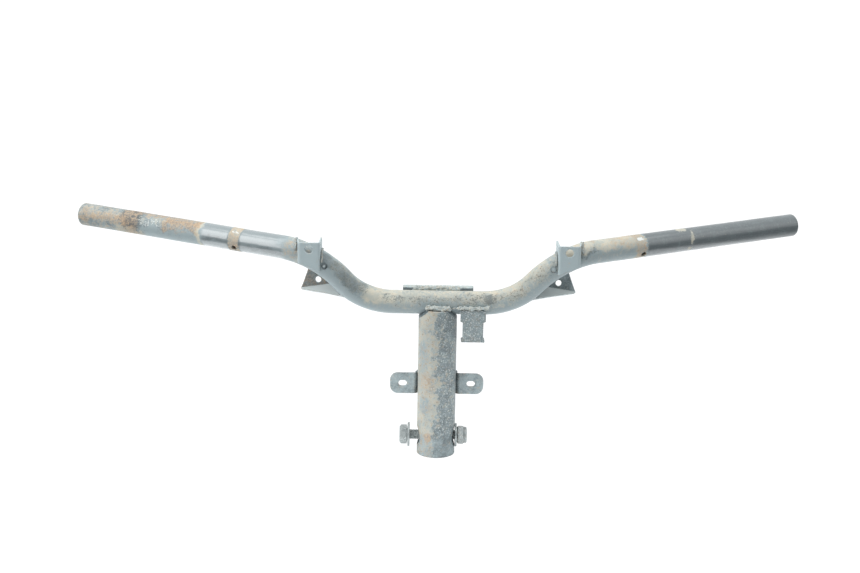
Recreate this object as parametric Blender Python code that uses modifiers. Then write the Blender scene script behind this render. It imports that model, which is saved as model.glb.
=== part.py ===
"""A bent steel scooter handlebar on a clamping stem, built from its separate tubes,
pressed brackets, weld beads and clamp fasteners.

World frame: the origin is the centre of the stem's lower end, +Z runs up the stem,
X runs along the bar and the grips sweep back towards +Y. All lengths are in metres.
"""
import math

import bmesh
import bpy
from mathutils import Matrix, Vector

# Handlebar tube
BAR_RADIUS = 0.0111
BAR_WALL = 0.0020
BAR_HEIGHT = 0.1494
LOWER_CORNER_X = 0.0722
UPPER_CORNER = Vector((0.1132, -0.0201, 0.1992))
GRIP_LEG = 0.2685
GRIP_SWEEP = math.radians(24.9)
GRIP_RISE = math.radians(3.1)
LOWER_BEND = 0.060
UPPER_BEND = 0.062
ARC_STEP = math.radians(6.5)
SWITCH_HOLE_FROM_END = 0.1840
SWITCH_HOLE_RADIUS = 0.00275
SWITCH_HOLE_DROP = math.radians(38)
PLUG_X = 0.1070
PLUG_HOLE_RADIUS = 0.0029
PLUG_RADIUS = 0.0026
PLUG_CROWN = 0.0006

# Stem
STEM_RADIUS = 0.0183
STEM_WALL = 0.0030
STEM_FRONT_TOP = 0.1440
STEM_CORNER_X = 0.0107
STEM_CORNER_SLOPE = math.radians(45)
SLIT_WIDTH = 0.0032
SLIT_TOP = 0.0420
SLIT_END_RADIUS = 0.0030

# Clamp across the stem
CLAMP_Z = 0.0178
POCKET_FLAT = 0.0149
POCKET_RADIUS = 0.0090
CLAMP_HOLE_RADIUS = 0.0055
BOLT_RADIUS = 0.0048
BOLT_LENGTH = 0.0550
BOLT_TIP_CHAMFER = 0.0010
HEX_ACROSS_FLATS = 0.0160
BOLT_HEAD_LENGTH = 0.0074
BOLT_UNDER_HEAD_X = -0.0277
BOLT_WASHER_THICKNESS = 0.0020
BOLT_WASHER_RADIUS = 0.0116
NUT_WASHER_X = 0.0184
NUT_WASHER_THICKNESS = 0.0018
NUT_WASHER_RADIUS = 0.0113
WASHER_HOLE_RADIUS = 0.0053
NUT_LENGTH = 0.0068
NUT_COLLAR_LENGTH = 0.0026
NUT_COLLAR_RADIUS = 0.0078
NUT_COLLAR_ROUND = 0.0012
NUT_COLLAR_CHAMFER = 0.0004
WASHER_EDGE = 0.0003
NUT_BORE_RADIUS = 0.0051
HEAD_TURN = math.radians(8)

# Strap with two ears behind the stem
SHEET = 0.0022
EAR_SPAN = 0.0900
EAR_HEIGHT = 0.0207
EAR_Z = 0.0686
EAR_FRONT_Y = 0.0020
EAR_CORNER = 0.0075
EAR_SLOT_X = 0.0328
EAR_SLOT_LENGTH = 0.0082
EAR_SLOT_WIDTH = 0.0053
STRAP_BEND = 0.0032

# Plate behind the centre of the bar
PLATE_WIDTH = 0.0674
PLATE_BOTTOM = 0.1490
PLATE_TOP = 0.1622
PLATE_LIP = 0.0045
PLATE_BEND = 0.0030
PLATE_GAP = 0.0005

# Stepped tab under the bar, on the +X side of the stem
TAB_CENTRE_X = 0.0331
TAB_WIDE = 0.0239
TAB_NARROW = 0.0196
TAB_TOP = 0.1448
TAB_STEP = 0.1337
TAB_STEP_FALL = 0.0006
TAB_BOTTOM = 0.1138
TAB_LIP_WIDTH = 0.0223
TAB_LIP_DEPTH = 0.0120

# Channel brackets on the upper bends
CHANNEL_X = 0.1200
CHANNEL_WIDTH = 0.0212
CHANNEL_SHEET = 0.0018
CHANNEL_FRONT_Y = -0.0262
CHANNEL_BACK_Y = -0.0030
CHANNEL_TOP = 0.2095
CHANNEL_TOP_RISE = math.radians(3)
CHANNEL_SPLAY = math.radians(8)
CHANNEL_INNER_BOTTOM = 0.1818
CHANNEL_OUTER_BOTTOM = 0.1900
CHANNEL_HOLE_Z = 0.2033
CHANNEL_HOLE_RADIUS = 0.0038
CHANNEL_BEND = 0.0028
CHANNEL_STOCK = 0.0600
CHANNEL_WEB_CLEAR = 0.0145
CHANNEL_CUT_Z = 0.1745
CHANNEL_CUT = Vector((0.05, 0.02, 0.05))

# Gusset brackets under the upper bends
GUSSET_SHEET = 0.0020
GUSSET_WEB_Y = 0.0022
GUSSET_OUTER_CORNER = Vector((0.1304, 0.0022, 0.1596))
GUSSET_FOLD_SLOPE = math.radians(8.5)
GUSSET_FLANGE_SLOPE = math.radians(40)
# The outlines of its two faces: distance along the fold, and distance from the fold
GUSSET_WEB = [(0.0, 0.0), (0.0087, 0.0160), (0.0125, 0.0230), (0.0185, 0.0230),
              (0.0380, 0.0060), (0.0380, 0.0)]
GUSSET_FLANGE = [(0.0004, -0.0008), (0.0012, 0.0024), (0.0240, 0.0110), (0.0405, 0.0180),
                 (0.0438, 0.0150), (0.0438, -0.0008)]
GUSSET_FLANGE_LIFT = 0.00006
GUSSET_HOLE_X = 0.1137
GUSSET_HOLE_Z = 0.1692
GUSSET_HOLE_RADIUS = 0.00275

# Weld beads
SMALL_BEAD = 0.0016
CHANNEL_BEAD_START = math.radians(12)
CHANNEL_BEAD_TURN = math.radians(12)
CHANNEL_BEAD_POINTS = 7
GUSSET_BEAD_POINTS = 8
GUSSET_BEAD_SIDE = (0, 1, -0.25)
STRAP_BEAD_START = math.radians(10)
STRAP_BEAD_TURN = math.radians(7)
STRAP_BEAD_POINTS = 9
GUSSET_BEAD = 0.0022
TAB_BEAD = 0.0024
PLATE_BEAD = 0.0028
STEM_BEAD = 0.0032
STEM_REAR_BEAD = 0.0026
STEM_BEAD_Y = 0.0070
STEM_BEAD_BOW = 0.45
STEM_BEAD_Z = 0.1456
PLATE_BEAD_X = -0.0220
PLATE_BEAD_Y = 0.0088
PLATE_BEAD_Z = 0.1604
PLATE_BEAD_STEP = 0.0042
TAB_BEAD_START_X = 0.01815
TAB_BEAD_Y = -0.0124
TAB_BEAD_STEP = 0.0030
GUSSET_BEAD_X = 0.1020
GUSSET_BEAD_STEP = 0.0024
CHANNEL_BEAD_CLEAR = 0.0009
CHANNEL_BEAD_SPLAY_CLEAR = 0.0012
STRAP_BEAD_OUT = 0.0010
BEAD_POINTS = 11

GAP = 0.0003
BIG = 0.1

ROUND = 48
SMALL_ROUND = 24


def clear_scene():
    for item in list(bpy.data.objects):
        bpy.data.objects.remove(item, do_unlink=True)


def make_collection(name):
    group = bpy.data.collections.new(name)
    bpy.context.scene.collection.children.link(group)
    return group


def make_material(name, colour, roughness, metallic):
    made = bpy.data.materials.new(name)
    made.use_nodes = True
    shader = made.node_tree.nodes["Principled BSDF"]
    shader.inputs["Base Color"].default_value = (*colour, 1.0)
    shader.inputs["Roughness"].default_value = roughness
    shader.inputs["Metallic"].default_value = metallic
    made.diffuse_color = (*colour, 1.0)
    return made


def add_object(name, mesh, group):
    made = bpy.data.objects.new(name, mesh)
    group.objects.link(made)
    return made


def mesh_from_bmesh(name, work):
    mesh = bpy.data.meshes.new(name)
    bmesh.ops.recalc_face_normals(work, faces=work.faces)
    work.to_mesh(mesh)
    work.free()
    return mesh


def mesh_from_curve(curve):
    """Turns a curve into a welded mesh."""
    holder = bpy.data.objects.new(curve.name, curve)
    bpy.context.scene.collection.objects.link(holder)
    graph = bpy.context.evaluated_depsgraph_get()
    mesh = bpy.data.meshes.new_from_object(holder.evaluated_get(graph))
    bpy.data.objects.remove(holder, do_unlink=True)
    work = bmesh.new()
    work.from_mesh(mesh)
    bmesh.ops.remove_doubles(work, verts=work.verts, dist=0.00001)
    bmesh.ops.recalc_face_normals(work, faces=work.faces)
    work.to_mesh(mesh)
    work.free()
    return mesh


def cylinder_mesh(name, radius, length, segments=ROUND, far_radius=None):
    """A cylinder or cone along Z, centred on the origin."""
    work = bmesh.new()
    far = radius if far_radius is None else far_radius
    bmesh.ops.create_cone(work, cap_ends=True, segments=segments,
                          radius1=radius, radius2=far, depth=length)
    return mesh_from_bmesh(name, work)


def box_mesh(name, size):
    work = bmesh.new()
    bmesh.ops.create_cube(work, size=1.0)
    bmesh.ops.scale(work, vec=Vector(size), verts=work.verts)
    return mesh_from_bmesh(name, work)


def flat_mesh(name, outline, thickness):
    """A flat outline in XY, extruded half its thickness each way along Z."""
    curve = bpy.data.curves.new(name, "CURVE")
    curve.dimensions = "2D"
    curve.fill_mode = "BOTH"
    curve.extrude = thickness / 2
    spline = curve.splines.new("POLY")
    spline.points.add(len(outline) - 1)
    for point, place in zip(spline.points, outline):
        point.co = (place[0], place[1], 0, 1)
    spline.use_cyclic_u = True
    return mesh_from_curve(curve)


def round_mesh(name, path, radius, segments, caps=True):
    """A round bar, or an open skin without its caps, along a path of points."""
    curve = bpy.data.curves.new(name, "CURVE")
    curve.dimensions = "3D"
    curve.bevel_depth = radius
    curve.bevel_resolution = segments // 2 - 2
    curve.use_fill_caps = caps
    spline = curve.splines.new("POLY")
    spline.points.add(len(path) - 1)
    for point, place in zip(spline.points, path):
        point.co = (*place, 1)
    return mesh_from_curve(curve)


def arc_points(centre, radius, start, end, steps):
    """Points of an arc in a plane, angles in radians."""
    return [(centre[0] + radius * math.cos(start + (end - start) * i / steps),
             centre[1] + radius * math.sin(start + (end - start) * i / steps))
            for i in range(steps + 1)]


def filleted_path(corners, radii, step):
    """Straight legs between the corners, joined by tangent arcs."""
    path = [corners[0]]
    for before, corner, after, radius in zip(corners, corners[1:], corners[2:], radii):
        arriving = (corner - before).normalized()
        leaving = (after - corner).normalized()
        turn = arriving.angle(leaving)
        cut = radius * math.tan(turn / 2)
        inward = (leaving - arriving).normalized()
        centre = corner + inward * (radius / math.cos(turn / 2))
        first = corner - arriving * cut - centre
        axis = arriving.cross(leaving).normalized()
        steps = max(2, round(turn / step))
        for i in range(steps + 1):
            path.append(centre + Matrix.Rotation(turn * i / steps, 3, axis) @ first)
    path.append(corners[-1])
    return path


def grip_direction():
    return Vector((math.cos(GRIP_RISE) * math.cos(GRIP_SWEEP),
                   math.cos(GRIP_RISE) * math.sin(GRIP_SWEEP),
                   math.sin(GRIP_RISE)))


def half_bar(extra=0.0):
    """The bar's centre line from the middle to its +X end."""
    middle = Vector((0, 0, BAR_HEIGHT))
    corners = [middle, Vector((LOWER_CORNER_X, 0, BAR_HEIGHT)), UPPER_CORNER,
               UPPER_CORNER + grip_direction() * (GRIP_LEG + extra)]
    return filleted_path(corners, [LOWER_BEND, UPPER_BEND], ARC_STEP)


def whole_bar(extra=0.0):
    right = half_bar(extra)
    left = [Vector((-p.x, p.y, p.z)) for p in reversed(right[1:])]
    return left + right[1:]


def bar_axis(x, side):
    """The centre line's point and direction where it crosses the plane at this x."""
    path = half_bar()
    for low, high in zip(path, path[1:]):
        if low.x <= x <= high.x and high.x > low.x:
            share = (x - low.x) / (high.x - low.x)
            point = low.lerp(high, share)
            along = (high - low).normalized()
            return (Vector((side * point.x, point.y, point.z)),
                    Vector((side * along.x, along.y, along.z)))
    raise ValueError("x is beyond the bar's end")


def bar_seam(x, side, offset, angles):
    """Points round the bar, a little off its surface, all in the plane at this x."""
    centre, along = bar_axis(x, side)
    ahead = Vector((0, -1, 0))
    ahead = (ahead - along * ahead.dot(along)).normalized()
    upward = ahead.cross(along) * side
    upward = upward if upward.z > 0 else -upward
    points = []
    for angle in angles:
        arm = (ahead * math.cos(angle) + upward * math.sin(angle)) * (BAR_RADIUS + offset)
        points.append(centre + arm - along * (arm.x / along.x))
    return points


def turned(axis):
    """A rotation that carries Z onto this axis."""
    return Vector((0, 0, 1)).rotation_difference(Vector(axis)).to_matrix().to_4x4()


def placed(made, location=(0, 0, 0), rotation=None):
    made.matrix_world = Matrix.Translation(Vector(location)) @ (rotation or Matrix())
    return made


def use_tool(target, tool, operation="DIFFERENCE"):
    step = target.modifiers.new(tool.name, "BOOLEAN")
    step.operation = operation
    step.solver = "EXACT"
    step.object = tool


class Shop:
    """The object's collection, its cutters and its materials."""

    def __init__(self):
        self.parts = make_collection("scooter_handlebar")
        self.tools = make_collection("cutters")

    def part(self, name, mesh, colour, roughness, metallic, smooth=False):
        made = add_object(name, mesh, self.parts)
        mesh.materials.clear()
        mesh.materials.append(make_material(name, colour, roughness, metallic))
        if smooth:
            mesh.shade_smooth()
        return made

    def tool(self, name, mesh, location=(0, 0, 0), rotation=None):
        made = placed(add_object(name, mesh, self.tools), location, rotation)
        made.hide_render = True
        made.display_type = "WIRE"
        return made

    def drill(self, name, radius, length, location, axis, segments=SMALL_ROUND):
        mesh = cylinder_mesh(name, radius, length, segments)
        return self.tool(name, mesh, location, turned(axis))


PAINT = ((0.13, 0.16, 0.18), 0.45, 0.2)
WORN_PAINT = ((0.30, 0.29, 0.25), 0.6, 0.2)
WELD = ((0.34, 0.33, 0.29), 0.65, 0.4)
ZINC = ((0.42, 0.44, 0.44), 0.4, 0.9)


def bar_frame_at(distance_from_end, side):
    """A point on the grip leg's centre line and the leg's direction."""
    along = grip_direction()
    end = UPPER_CORNER + along * GRIP_LEG
    point = end - along * distance_from_end
    return (Vector((side * point.x, point.y, point.z)),
            Vector((side * along.x, along.y, along.z)))


def plug_axis(side):
    """Where a plug's axis starts on the bar's centre line, and its outward direction."""
    centre, along = bar_axis(PLUG_X, side)
    ahead = Vector((0, -1, 0.1))
    return centre, (ahead - along * ahead.dot(along)).normalized()


def make_bar(shop):
    mesh = round_mesh("handlebar_tube", whole_bar(), BAR_RADIUS, 28, caps=False)
    bar = shop.part("handlebar_tube", mesh, *WORN_PAINT, smooth=True)
    wall = bar.modifiers.new("wall", "SOLIDIFY")
    wall.thickness = BAR_WALL
    wall.offset = -1
    wall.use_even_offset = True
    for side, label in ((-1, "left"), (1, "right")):
        centre, along = bar_frame_at(SWITCH_HOLE_FROM_END, side)
        ahead = Vector((0, -1, 0))
        ahead = (ahead - along * ahead.dot(along)).normalized()
        outward = Matrix.Rotation(SWITCH_HOLE_DROP * side, 3, along) @ ahead
        outward = outward if outward.z < 0 else Matrix.Rotation(
            -SWITCH_HOLE_DROP * side, 3, along) @ ahead
        use_tool(bar, shop.drill(f"switch_hole_{label}", SWITCH_HOLE_RADIUS, 2 * BAR_RADIUS,
                                 centre + outward * BAR_RADIUS, outward))
        centre, outward = plug_axis(side)
        use_tool(bar, shop.drill(f"plug_hole_{label}", PLUG_HOLE_RADIUS, BAR_RADIUS,
                                 centre + outward * BAR_RADIUS, outward))


def make_plugs(shop):
    """The drilled holes on the bends, closed by plug welds."""
    depth = BAR_WALL - GAP
    for side, label in ((-1, "left"), (1, "right")):
        centre, outward = plug_axis(side)
        profile = [(0, PLUG_CROWN), (PLUG_RADIUS * 0.6, PLUG_CROWN * 0.8),
                   (PLUG_RADIUS, 0), (PLUG_RADIUS, -depth), (0, -depth)]
        plug = shop.part(f"plug_weld_{label}", turned_mesh(f"plug_weld_{label}", profile),
                         *WELD, smooth=True)
        placed(plug, centre + outward * (BAR_RADIUS + GAP / 3), turned(outward))


def turned_mesh(name, profile, steps=SMALL_ROUND):
    """A closed profile of (radius, height) pairs turned about Z."""
    work = bmesh.new()
    verts = [work.verts.new((r, 0, z)) for r, z in profile]
    for first, second in zip(verts, verts[1:]):
        work.edges.new((first, second))
    if profile[0][0] > 0:
        work.edges.new((verts[-1], verts[0]))
    bmesh.ops.spin(work, geom=list(work.verts) + list(work.edges), cent=(0, 0, 0),
                   axis=(0, 0, 1), angle=math.tau, steps=steps, use_merge=True)
    bmesh.ops.remove_doubles(work, verts=work.verts, dist=0.00001)
    return mesh_from_bmesh(name, work)


def make_stem(shop, bar_keepout):
    length = BAR_HEIGHT
    stem = shop.part("stem_tube", cylinder_mesh("stem_tube", STEM_RADIUS, length),
                     *WORN_PAINT)
    placed(stem, (0, 0, length / 2))
    bore_radius = STEM_RADIUS - STEM_WALL
    bore = shop.tool("stem_bore", cylinder_mesh("stem_bore", bore_radius, length + 0.02),
                     (0, 0, length / 2))
    pad_face = POCKET_FLAT - STEM_WALL
    for side, label in ((-1, "left"), (1, "right")):
        pad = shop.drill(f"pad_{label}", POCKET_RADIUS - 0.0003, BIG,
                         (side * (pad_face + BIG / 2), 0, CLAMP_Z), (1, 0, 0), ROUND)
        use_tool(bore, pad)
    use_tool(stem, bore)
    for side, label in ((-1, "left"), (1, "right")):
        pocket = shop.drill(f"pocket_{label}", POCKET_RADIUS, BIG,
                            (side * (POCKET_FLAT + BIG / 2), 0, CLAMP_Z), (1, 0, 0), ROUND)
        use_tool(stem, pocket)
    use_tool(stem, shop.drill("clamp_hole", CLAMP_HOLE_RADIUS, BIG, (0, 0, CLAMP_Z), (1, 0, 0)))
    slit_height = SLIT_TOP + 0.01
    slit = shop.tool("slit", box_mesh("slit", (SLIT_WIDTH, BIG, slit_height)),
                     (0, BIG / 2, SLIT_TOP - slit_height / 2))
    use_tool(stem, slit)
    use_tool(stem, shop.drill("slit_end", SLIT_END_RADIUS, BIG, (0, BIG / 2, SLIT_TOP),
                              (0, 1, 0)))
    top = shop.tool("stem_top_cut", box_mesh("stem_top_cut", (BIG, BIG, BIG)),
                    (0, 0, STEM_FRONT_TOP + BIG / 2))
    use_tool(stem, top)
    for side, label in ((-1, "left"), (1, "right")):
        tilt = Matrix.Rotation(side * STEM_CORNER_SLOPE, 4, "Y")
        edge = Vector((side * STEM_CORNER_X, 0, STEM_FRONT_TOP))
        centre = edge + tilt.to_3x3() @ Vector((0, 0, BIG / 2))
        use_tool(stem, shop.tool(f"stem_corner_cut_{label}",
                                 box_mesh(f"stem_corner_cut_{label}", (BIG, BIG, BIG)),
                                 centre, tilt))
    use_tool(stem, bar_keepout)


def make_centre_plate(shop):
    """An upright strip behind the bar, with a lip rolled back along its top."""
    front = BAR_RADIUS + PLATE_GAP
    back = front + SHEET
    bend = PLATE_BEND
    inner = bend - SHEET / 2
    outer = bend + SHEET / 2
    centre = (front + outer, PLATE_TOP - outer)
    outline = [(front, PLATE_BOTTOM)]
    outline += arc_points(centre, outer, math.pi, math.pi / 2, 5)
    outline += [(back + PLATE_LIP, PLATE_TOP), (back + PLATE_LIP, PLATE_TOP - SHEET)]
    outline += arc_points(centre, inner, math.pi / 2, math.pi, 4)
    outline += [(back, PLATE_BOTTOM)]
    plate = shop.part("centre_plate", flat_mesh("centre_plate", outline, PLATE_WIDTH), *PAINT)
    standing = Matrix(((0, 0, 1, 0), (1, 0, 0, 0), (0, 1, 0, 0), (0, 0, 0, 1)))
    placed(plate, (0, 0, 0), standing)


def make_cable_tab(shop):
    """A stepped tab that hangs from the front of the bar, with a lip turned back."""
    front = -(BAR_RADIUS + 0.0004 + SHEET)
    half_wide, half_narrow = TAB_WIDE / 2, TAB_NARROW / 2
    outline = [(-half_wide, TAB_TOP), (-half_wide, TAB_STEP),
               (-half_narrow, TAB_STEP - TAB_STEP_FALL),
               (-half_narrow, TAB_BOTTOM + SHEET / 2)]
    outline += [(-x, z) for x, z in reversed(outline)]
    upright = Matrix.Rotation(math.pi / 2, 4, "X")
    tab = shop.part("cable_tab", flat_mesh("cable_tab", outline, SHEET), *WORN_PAINT)
    placed(tab, (TAB_CENTRE_X, front + SHEET / 2, 0), upright)
    lip_front = front + GAP
    lip = shop.tool("tab_lip", box_mesh("tab_lip", (TAB_LIP_WIDTH, TAB_LIP_DEPTH, SHEET)),
                    (TAB_CENTRE_X, lip_front + TAB_LIP_DEPTH / 2, TAB_BOTTOM + SHEET / 2))
    use_tool(tab, lip, "UNION")


def make_ear_strap(shop):
    """A strap bent round the back of the stem, ending in two slotted ears."""
    inner = STEM_RADIUS + GAP
    middle = inner + SHEET / 2
    ear_y = EAR_FRONT_Y + SHEET / 2
    bend_y = ear_y + STRAP_BEND
    bend_x = math.sqrt((middle + STRAP_BEND) ** 2 - bend_y ** 2)
    wrap = math.atan2(bend_y, bend_x)

    def edge(offset):
        """The strap's front (negative) or back edge, from the +X ear to the -X ear."""
        half = [(EAR_SPAN / 2 + 0.005, ear_y + offset)]
        half += arc_points((bend_x, bend_y), STRAP_BEND - offset, -math.pi / 2,
                           -math.pi + wrap, 5)
        half += arc_points((0, 0), middle + offset, wrap, math.pi / 2, 12)[1:]
        return half + [(-x, y) for x, y in reversed(half[:-1])]

    outline = edge(-SHEET / 2) + list(reversed(edge(SHEET / 2)))
    strap = shop.part("stem_ear_strap", flat_mesh("stem_ear_strap", outline, EAR_HEIGHT + 0.01),
                      *PAINT)
    placed(strap, (0, 0, EAR_Z))
    half_x, half_z = EAR_SPAN / 2 - EAR_CORNER, EAR_HEIGHT / 2 - EAR_CORNER
    rounded = []
    for sx, sz, start in ((1, 1, 0), (-1, 1, 90), (-1, -1, 180), (1, -1, 270)):
        begin = math.radians(start)
        rounded += arc_points((sx * half_x, sz * half_z), EAR_CORNER, begin,
                              begin + math.pi / 2, 6)
    upright = Matrix.Rotation(math.pi / 2, 4, "X")
    use_tool(strap, shop.tool("ear_outline", flat_mesh("ear_outline", rounded, 2 * BIG),
                              (0, 0, EAR_Z), upright), "INTERSECT")
    for side, label in ((-1, "left"), (1, "right")):
        straight = (EAR_SLOT_LENGTH - EAR_SLOT_WIDTH) / 2
        slot = arc_points((straight, 0), EAR_SLOT_WIDTH / 2, -math.pi / 2, math.pi / 2, 8)
        slot += arc_points((-straight, 0), EAR_SLOT_WIDTH / 2, math.pi / 2, 3 * math.pi / 2, 8)
        use_tool(strap, shop.tool(f"ear_slot_{label}", flat_mesh(f"ear_slot_{label}", slot, 0.02),
                                  (side * EAR_SLOT_X, ear_y, EAR_Z), upright))


def channel_outline(side):
    """The U section in XY: a front web with a flange back on each side."""
    half = CHANNEL_WIDTH / 2
    run = CHANNEL_BACK_Y - CHANNEL_FRONT_Y
    spread = run * math.tan(CHANNEL_SPLAY)
    bend = CHANNEL_BEND
    outer = [(-half, CHANNEL_BACK_Y)]
    outer += arc_points((-half + bend, CHANNEL_FRONT_Y + bend), bend, math.pi, 1.5 * math.pi, 4)
    outer += arc_points((half - bend, CHANNEL_FRONT_Y + bend), bend, 1.5 * math.pi, math.tau, 4)
    outer += [(half + spread, CHANNEL_BACK_Y)]
    sheet = CHANNEL_SHEET
    inner_bend = bend - sheet
    inner = [(-half + sheet, CHANNEL_BACK_Y)]
    inner += arc_points((-half + bend, CHANNEL_FRONT_Y + bend), inner_bend, math.pi,
                        1.5 * math.pi, 3)
    inner += arc_points((half - bend, CHANNEL_FRONT_Y + bend), inner_bend, 1.5 * math.pi,
                        math.tau, 3)
    inner += [(half + spread - sheet, CHANNEL_BACK_Y)]
    section = outer + list(reversed(inner))
    return [(side * (CHANNEL_X + x), y) for x, y in section]


def make_channels(shop, bar_keepout):
    """The open channels that stand on the upper bends."""
    for side, label in ((-1, "left"), (1, "right")):
        name = f"upper_bracket_{label}"
        channel = shop.part(name, flat_mesh(name, channel_outline(side), CHANNEL_STOCK), *PAINT)
        placed(channel, (0, 0, CHANNEL_TOP - CHANNEL_STOCK / 3))
        lean = Matrix.Rotation(CHANNEL_TOP_RISE, 4, "X")
        top_centre = Vector((side * CHANNEL_X, CHANNEL_FRONT_Y, CHANNEL_TOP))
        top_centre += lean.to_3x3() @ Vector((0, 0, BIG / 2))
        use_tool(channel, shop.tool(f"channel_top_{label}",
                                    box_mesh(f"channel_top_{label}", (BIG, BIG, BIG)),
                                    top_centre, lean))
        rise = CHANNEL_OUTER_BOTTOM - CHANNEL_INNER_BOTTOM
        slant = Matrix.Rotation(-side * math.atan2(rise, CHANNEL_WIDTH), 4, "Y")
        middle = (CHANNEL_INNER_BOTTOM + CHANNEL_OUTER_BOTTOM) / 2
        low_centre = Vector((side * CHANNEL_X, CHANNEL_FRONT_Y, middle))
        low_centre += slant.to_3x3() @ Vector((0, 0, -BIG / 2))
        use_tool(channel, shop.tool(f"channel_bottom_{label}",
                                    box_mesh(f"channel_bottom_{label}", (BIG, BIG, BIG)),
                                    low_centre, slant))
        use_tool(channel, bar_keepout)
        back_y = CHANNEL_FRONT_Y + CHANNEL_WEB_CLEAR + CHANNEL_CUT.y / 2
        use_tool(channel, shop.tool(f"channel_behind_{label}",
                                    box_mesh(f"channel_behind_{label}", CHANNEL_CUT),
                                    (side * CHANNEL_X, back_y, CHANNEL_CUT_Z)))
        use_tool(channel, shop.drill(f"channel_hole_{label}", CHANNEL_HOLE_RADIUS, 0.01,
                                     (side * CHANNEL_X, CHANNEL_FRONT_Y, CHANNEL_HOLE_Z),
                                     (0, 1, 0)))


def fold_frame(side):
    """The gusset's fold: its outer corner, its run towards the stem, and two normals."""
    corner = Vector((side * GUSSET_OUTER_CORNER.x, GUSSET_OUTER_CORNER.y,
                     GUSSET_OUTER_CORNER.z))
    inward = Vector((-side * math.cos(GUSSET_FOLD_SLOPE), 0, math.sin(GUSSET_FOLD_SLOPE)))
    forward = Vector((0, -math.cos(GUSSET_FLANGE_SLOPE), -math.sin(GUSSET_FLANGE_SLOPE)))
    return corner, inward, (forward - inward * forward.dot(inward)).normalized()


def plane_matrix(origin, across, along):
    """Carries XY onto a plane through the origin point; Z becomes its normal."""
    normal = across.cross(along).normalized()
    turn = Matrix((across, along, normal)).transposed().to_4x4()
    return Matrix.Translation(origin) @ turn


def make_gussets(shop, bar_keepout):
    """A web behind each bend and a flange folded forward under the bar."""
    for side, label in ((-1, "left"), (1, "right")):
        name = f"lower_bracket_{label}"
        corner, inward, forward = fold_frame(side)
        upward = Vector((0, 0, 1))
        upward = (upward - inward * upward.dot(inward)).normalized()
        half = GUSSET_SHEET / 2
        web = shop.part(name, flat_mesh(name, GUSSET_WEB, GUSSET_SHEET), *PAINT)
        web.matrix_world = plane_matrix(corner + Vector((0, half, 0)), inward, upward)
        flange = shop.tool(f"gusset_flange_{label}",
                           flat_mesh(f"gusset_flange_{label}", GUSSET_FLANGE, GUSSET_SHEET))
        lift = Vector((0, half, half + GUSSET_FLANGE_LIFT))
        flange.matrix_world = plane_matrix(corner + lift, inward, forward)
        use_tool(web, flange, "UNION")
        use_tool(web, bar_keepout)
        use_tool(web, shop.drill(f"gusset_hole_{label}", GUSSET_HOLE_RADIUS, 0.012,
                                 (side * GUSSET_HOLE_X, GUSSET_WEB_Y + 0.004, GUSSET_HOLE_Z),
                                 (0, 1, 0)))


def make_clamp(shop):
    """The clamp bolt, its washer, the nut's washer and the collared lock nut."""
    along_x = turned((1, 0, 0))
    corner = HEX_ACROSS_FLATS / math.sqrt(3)
    bolt = shop.part("clamp_bolt", cylinder_mesh("clamp_bolt", corner, BOLT_HEAD_LENGTH, 6),
                     *ZINC)
    head_x = BOLT_UNDER_HEAD_X - BOLT_HEAD_LENGTH / 2
    placed(bolt, (head_x, 0, CLAMP_Z), Matrix.Rotation(HEAD_TURN, 4, "X") @ along_x)
    shank_profile = [(0, -0.002), (BOLT_RADIUS, -0.002),
                     (BOLT_RADIUS, BOLT_LENGTH - BOLT_TIP_CHAMFER),
                     (BOLT_RADIUS - BOLT_TIP_CHAMFER, BOLT_LENGTH), (0, BOLT_LENGTH)]
    shank = shop.tool("bolt_shank", turned_mesh("bolt_shank", shank_profile),
                      (BOLT_UNDER_HEAD_X, 0, CLAMP_Z), along_x)
    use_tool(bolt, shank, "UNION")

    def washer(name, radius, thickness, low_x):
        profile = [(WASHER_HOLE_RADIUS, 0), (radius - WASHER_EDGE, 0), (radius, WASHER_EDGE),
                   (radius, thickness - WASHER_EDGE), (radius - WASHER_EDGE, thickness),
                   (WASHER_HOLE_RADIUS, thickness)]
        made = shop.part(name, turned_mesh(name, profile, 36), *ZINC)
        placed(made, (low_x, 0, CLAMP_Z), along_x)

    washer("clamp_bolt_washer", BOLT_WASHER_RADIUS, BOLT_WASHER_THICKNESS,
           BOLT_UNDER_HEAD_X + GAP)
    washer("clamp_nut_washer", NUT_WASHER_RADIUS, NUT_WASHER_THICKNESS, NUT_WASHER_X)
    nut_x = NUT_WASHER_X + NUT_WASHER_THICKNESS + GAP
    nut = shop.part("clamp_nut", cylinder_mesh("clamp_nut", corner, NUT_LENGTH, 6), *ZINC)
    placed(nut, (nut_x + NUT_LENGTH / 2, 0, CLAMP_Z),
           Matrix.Rotation(-HEAD_TURN, 4, "X") @ along_x)
    collar_profile = [(0, -0.001), (NUT_COLLAR_RADIUS, -0.001),
                      (NUT_COLLAR_RADIUS, NUT_COLLAR_LENGTH - NUT_COLLAR_ROUND),
                      (NUT_COLLAR_RADIUS - NUT_COLLAR_CHAMFER,
                       NUT_COLLAR_LENGTH - NUT_COLLAR_CHAMFER),
                      (NUT_COLLAR_RADIUS - NUT_COLLAR_ROUND, NUT_COLLAR_LENGTH),
                      (0, NUT_COLLAR_LENGTH)]
    collar = shop.tool("nut_collar", turned_mesh("nut_collar", collar_profile, 36),
                       (nut_x + NUT_LENGTH, 0, CLAMP_Z), along_x)
    use_tool(nut, collar, "UNION")
    use_tool(nut, shop.drill("nut_bore", NUT_BORE_RADIUS, 0.04, (nut_x, 0, CLAMP_Z), (1, 0, 0)))


def bead(shop, name, path, radius, tools):
    made = shop.part(name, round_mesh(name, path, radius, 12), *WELD, smooth=True)
    for tool in tools:
        use_tool(made, tool)


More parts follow.
